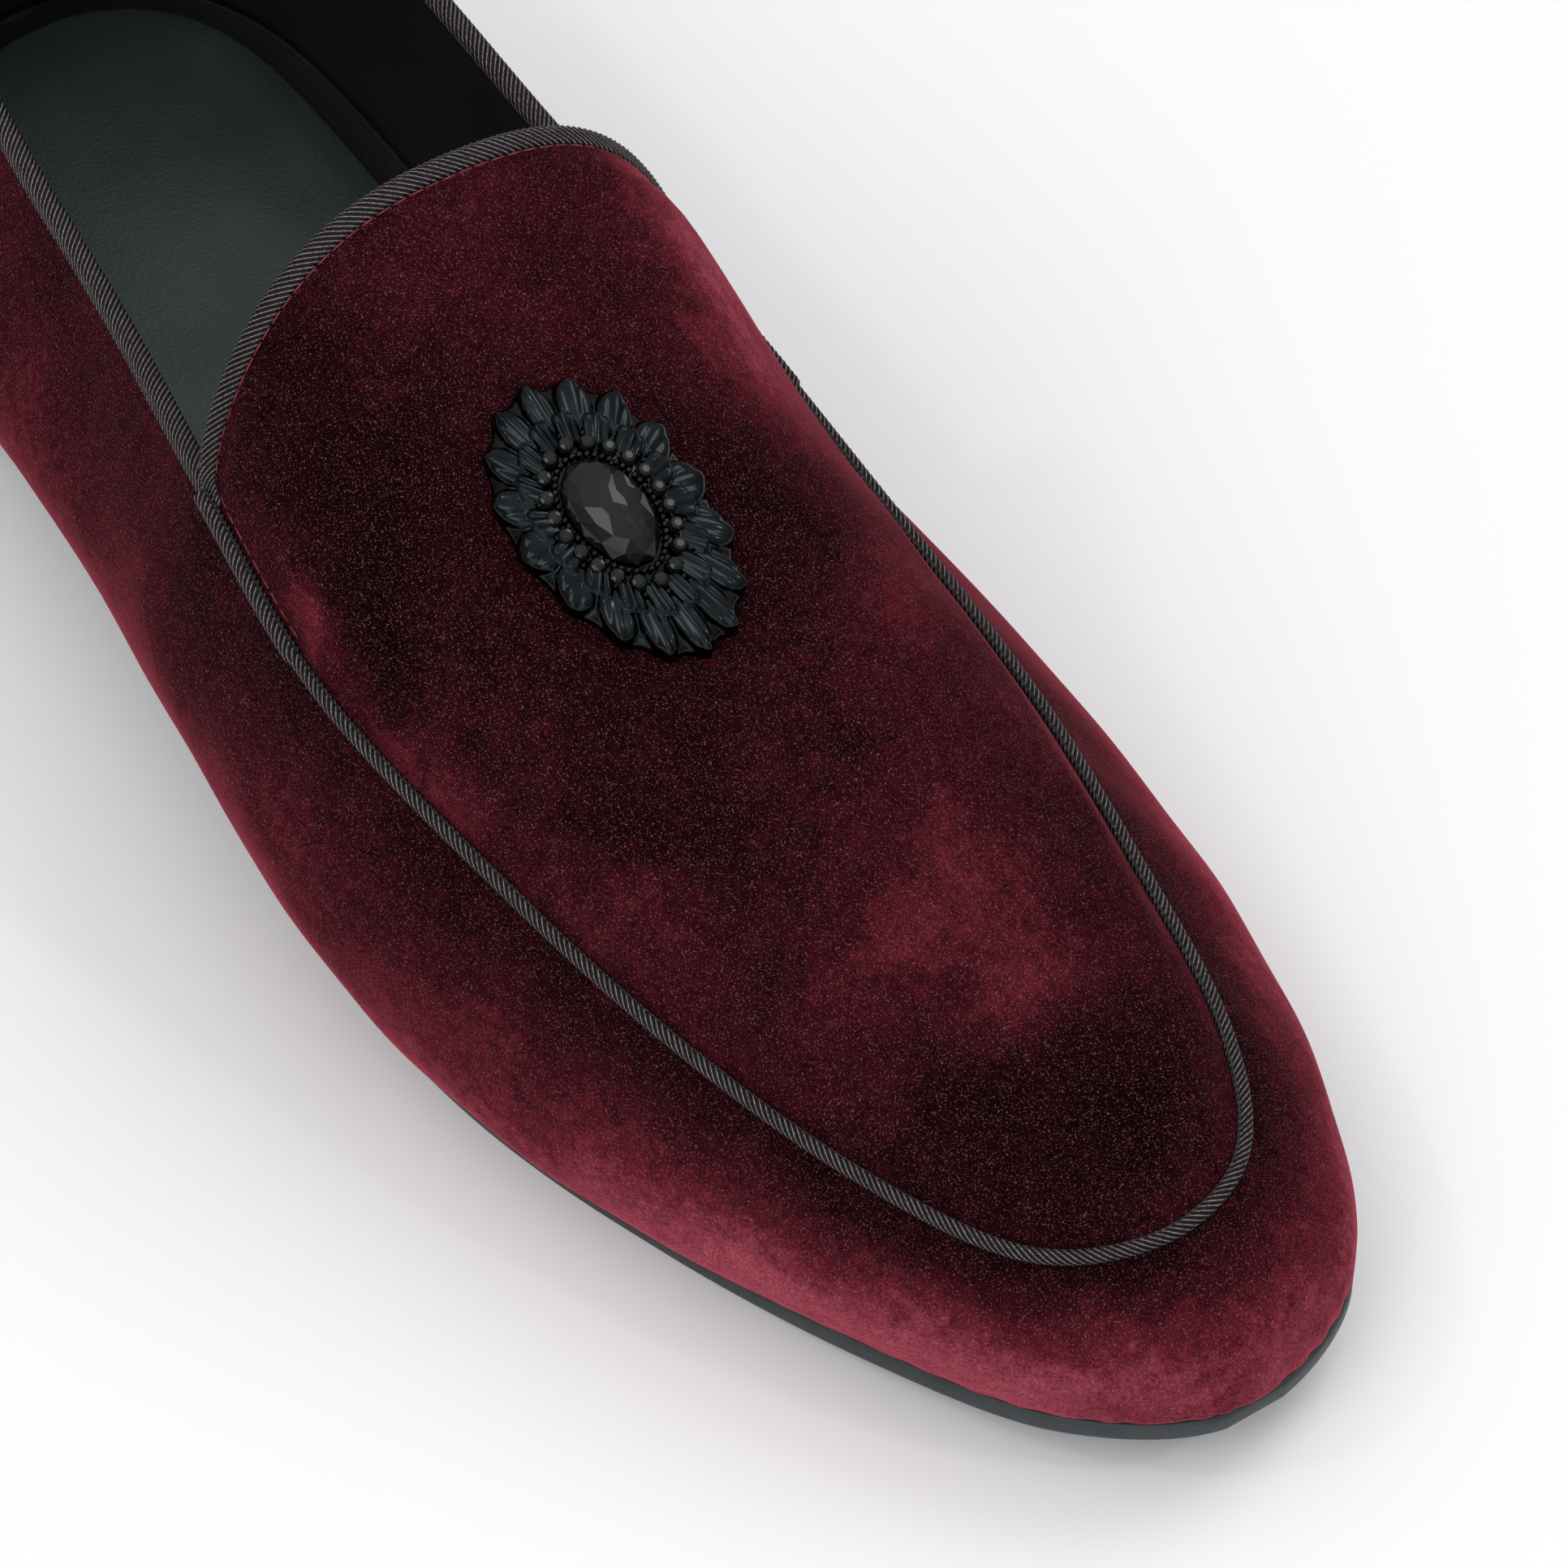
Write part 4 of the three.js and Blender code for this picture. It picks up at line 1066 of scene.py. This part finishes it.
def make_brooch_dome():
    """Domed oval of petals: an outer and an inner ring of shells, closed below."""
    turns, steps = 448, 72
    angle, rho = np.meshgrid(
        np.linspace(0, 2 * math.pi, turns, endpoint=False), np.linspace(0.004, 1, steps), indexing="ij"
    )
    outer = petals(rho, angle, 0.62, 1.0, 0.5, 1.7)
    inner = petals(rho, angle, 0.52, 0.76, 0.0, 2.3)
    lobes = rho * (1 + BROOCH_LOBE * np.cos(BROOCH_PETALS * angle) * rho)
    top = brooch_place(lobes, angle, dome_height(rho) - 0.6 + np.maximum(outer, inner))
    under = brooch_place(lobes, angle, np.full_like(rho, 1.0))
    faces, _ = slab_quads(turns, steps, True)
    points = np.concatenate([top.reshape(-1, 3), under.reshape(-1, 3)])
    piece = make_piece("brooch_dome", points, faces[:, ::-1], [METAL])
    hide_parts("brooch_plate")


def make_brooch_stones():
    """One large oval cut stone, a round of small cut stones, and bead rows between them."""
    places = 12
    turn = np.linspace(0, 2 * math.pi, places, endpoint=False)
    base = dome_height(np.zeros(1))[0] - 0.3
    crown = [(0.3, 0.0), (0.39, 0.4), (0.34, 1.6), (0.25, 2.7), (0.12, 3.5)]
    rings = [
        brooch_place(np.full(places, r), turn - i * math.pi / places, np.full(places, base + z))
        for i, (r, z) in enumerate(crown)
    ]
    bottom = brooch_place(np.zeros(1), np.zeros(1), np.full(1, base))
    table = brooch_place(np.zeros(1), np.zeros(1), np.full(1, base + STONE_RISE))
    points, faces = ring_solids(np.stack(rings)[None], bottom, table)
    stone = make_piece("brooch_cut_stone", points, faces, [GLASS], smooth=False)
    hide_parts("brooch_stone")
    cut = [(0.7, -0.3), (1.0, 0.3), (0.72, 0.75), (0.4, 0.9)]
    centre, radial, around, up = brooch_frames(0.51, even_angles(0.51, 20), 0.1)
    points, faces = beads(centre, radial, around, up, 1.25, cut, 8)
    small = make_piece("brooch_small_stones", points, faces, [GLASS], smooth=False)
    dome = [(0.8, -0.4), (1.0, 0.1), (0.8, 0.6), (0.4, 0.9)]
    rows = []
    for rho, count, radius in ((0.425, 48, 0.5), (0.59, 66, 0.42)):
        rows.append(beads(*brooch_frames(rho, even_angles(rho, count), 0.0), radius, dome, 8))
    bead_rows = make_piece("brooch_beads", *joined(*rows), [METAL])


# Stage light: sky strength at horizon and zenith; lamps as name, place (m), power (W) and side (m)
SKY = (0.2, 0.98)
LAMPS = [
    ("window", (-0.25, 1.5, 2.0), 12.0, 1.2),
    ("near_fill", (0.5, -1.6, 1.7), 11.0, 1.2),
    ("front_fill", (1.3, -1.2, 0.5), 4.0, 1.0),
    ("spark_right", (0.9, 0.7, 1.2), 1.4, 0.1),
    ("spark_left", (-0.3, -0.9, 1.3), 1.0, 0.1),
]
# The photograph's camera: turn round the shoe and raise in degrees, scale at the target in photo pixels
# per millimetre
CAMERA_TURN = 56.466
CAMERA_RAISE = 51.868
CAMERA_SCALE = 9.355
CAMERA_DISTANCE = 1000.0
CAMERA_TARGET = np.array([193.367, 7.085, 28.4])
PHOTO_SIDE = 1932
SENSOR = 36.0


def aim(forward):
    """Quaternion that points a lamp or camera along forward, upright."""
    return Vector(np.asarray(forward).tolist()).to_track_quat("-Z", "Y")


def make_stage():
    """Pale floor, sky brighter overhead, three broad lamps and two small ones for sparks on the brooch."""
    corners = np.array([[-1, -1, 0], [1, -1, 0], [1, 1, 0], [-1, 1, 0]]) * FLOOR_SIDE / 2
    mesh = bpy.data.meshes.new("floor")
    mesh.from_pydata(corners.tolist(), [], [(0, 1, 2, 3)])
    floor = bpy.data.objects.new("floor", mesh)
    # Matt paper: white without a reflection
    material, _, shader, _ = start_material("pale_paper")
    feed(shader, {"Base Color": srgb("#f6f6f8"), "Roughness": 0.9, "Specular IOR Level": 0.0})
    mesh.materials.append(material)
    bpy.context.scene.collection.objects.link(floor)
    world = bpy.data.worlds.new("studio")
    world.use_nodes = True
    sky = world.node_tree
    direction = add(sky, "ShaderNodeTexCoord").outputs["Generated"]
    height = add(sky, "ShaderNodeSeparateXYZ", {"Vector": direction}).outputs["Z"]
    strength = add(sky, "ShaderNodeMapRange", {"Value": height, "To Min": SKY[0], "To Max": SKY[1]})
    white = (1.0, 1.0, 1.0, 1.0)
    feed(sky.nodes["Background"], {"Color": white, "Strength": strength.outputs["Result"]})
    bpy.context.scene.world = world
    for name, place, power, spread in LAMPS:
        lamp = bpy.data.lights.new(name, "AREA")
        lamp.energy = power
        lamp.size = spread
        holder = bpy.data.objects.new(name, lamp)
        holder.location = place
        holder.rotation_mode = "QUATERNION"
        holder.rotation_quaternion = aim([-value for value in place])
        bpy.context.scene.collection.objects.link(holder)
    bpy.context.scene.view_settings.view_transform = "Standard"


def make_camera():
    """Camera looking at the target from the fitted angle, its lens from the photo's scale."""
    turn, rise = math.radians(CAMERA_TURN), math.radians(CAMERA_RAISE)
    level = np.array([-math.sin(turn), math.cos(turn), 0.0])
    forward = level * math.cos(rise) - UP * math.sin(rise)
    data = bpy.data.cameras.new("photo_camera")
    data.sensor_width = SENSOR
    data.lens = SENSOR * CAMERA_SCALE * CAMERA_DISTANCE / PHOTO_SIDE
    data.clip_start = 0.01
    data.clip_end = 20.0
    camera = bpy.data.objects.new("photo_camera", data)
    camera.location = ((CAMERA_TARGET + OFFSET - forward * CAMERA_DISTANCE) * MM).tolist()
    camera.rotation_mode = "QUATERNION"
    camera.rotation_quaternion = aim(forward)
    bpy.context.scene.collection.objects.link(camera)
    bpy.context.scene.camera = camera


make_camera()
make_stage()
make_skirt()
make_apron()
make_piping()
make_bindings()
make_stitches()
make_bottom()
make_brooch_dome()
make_brooch_stones()
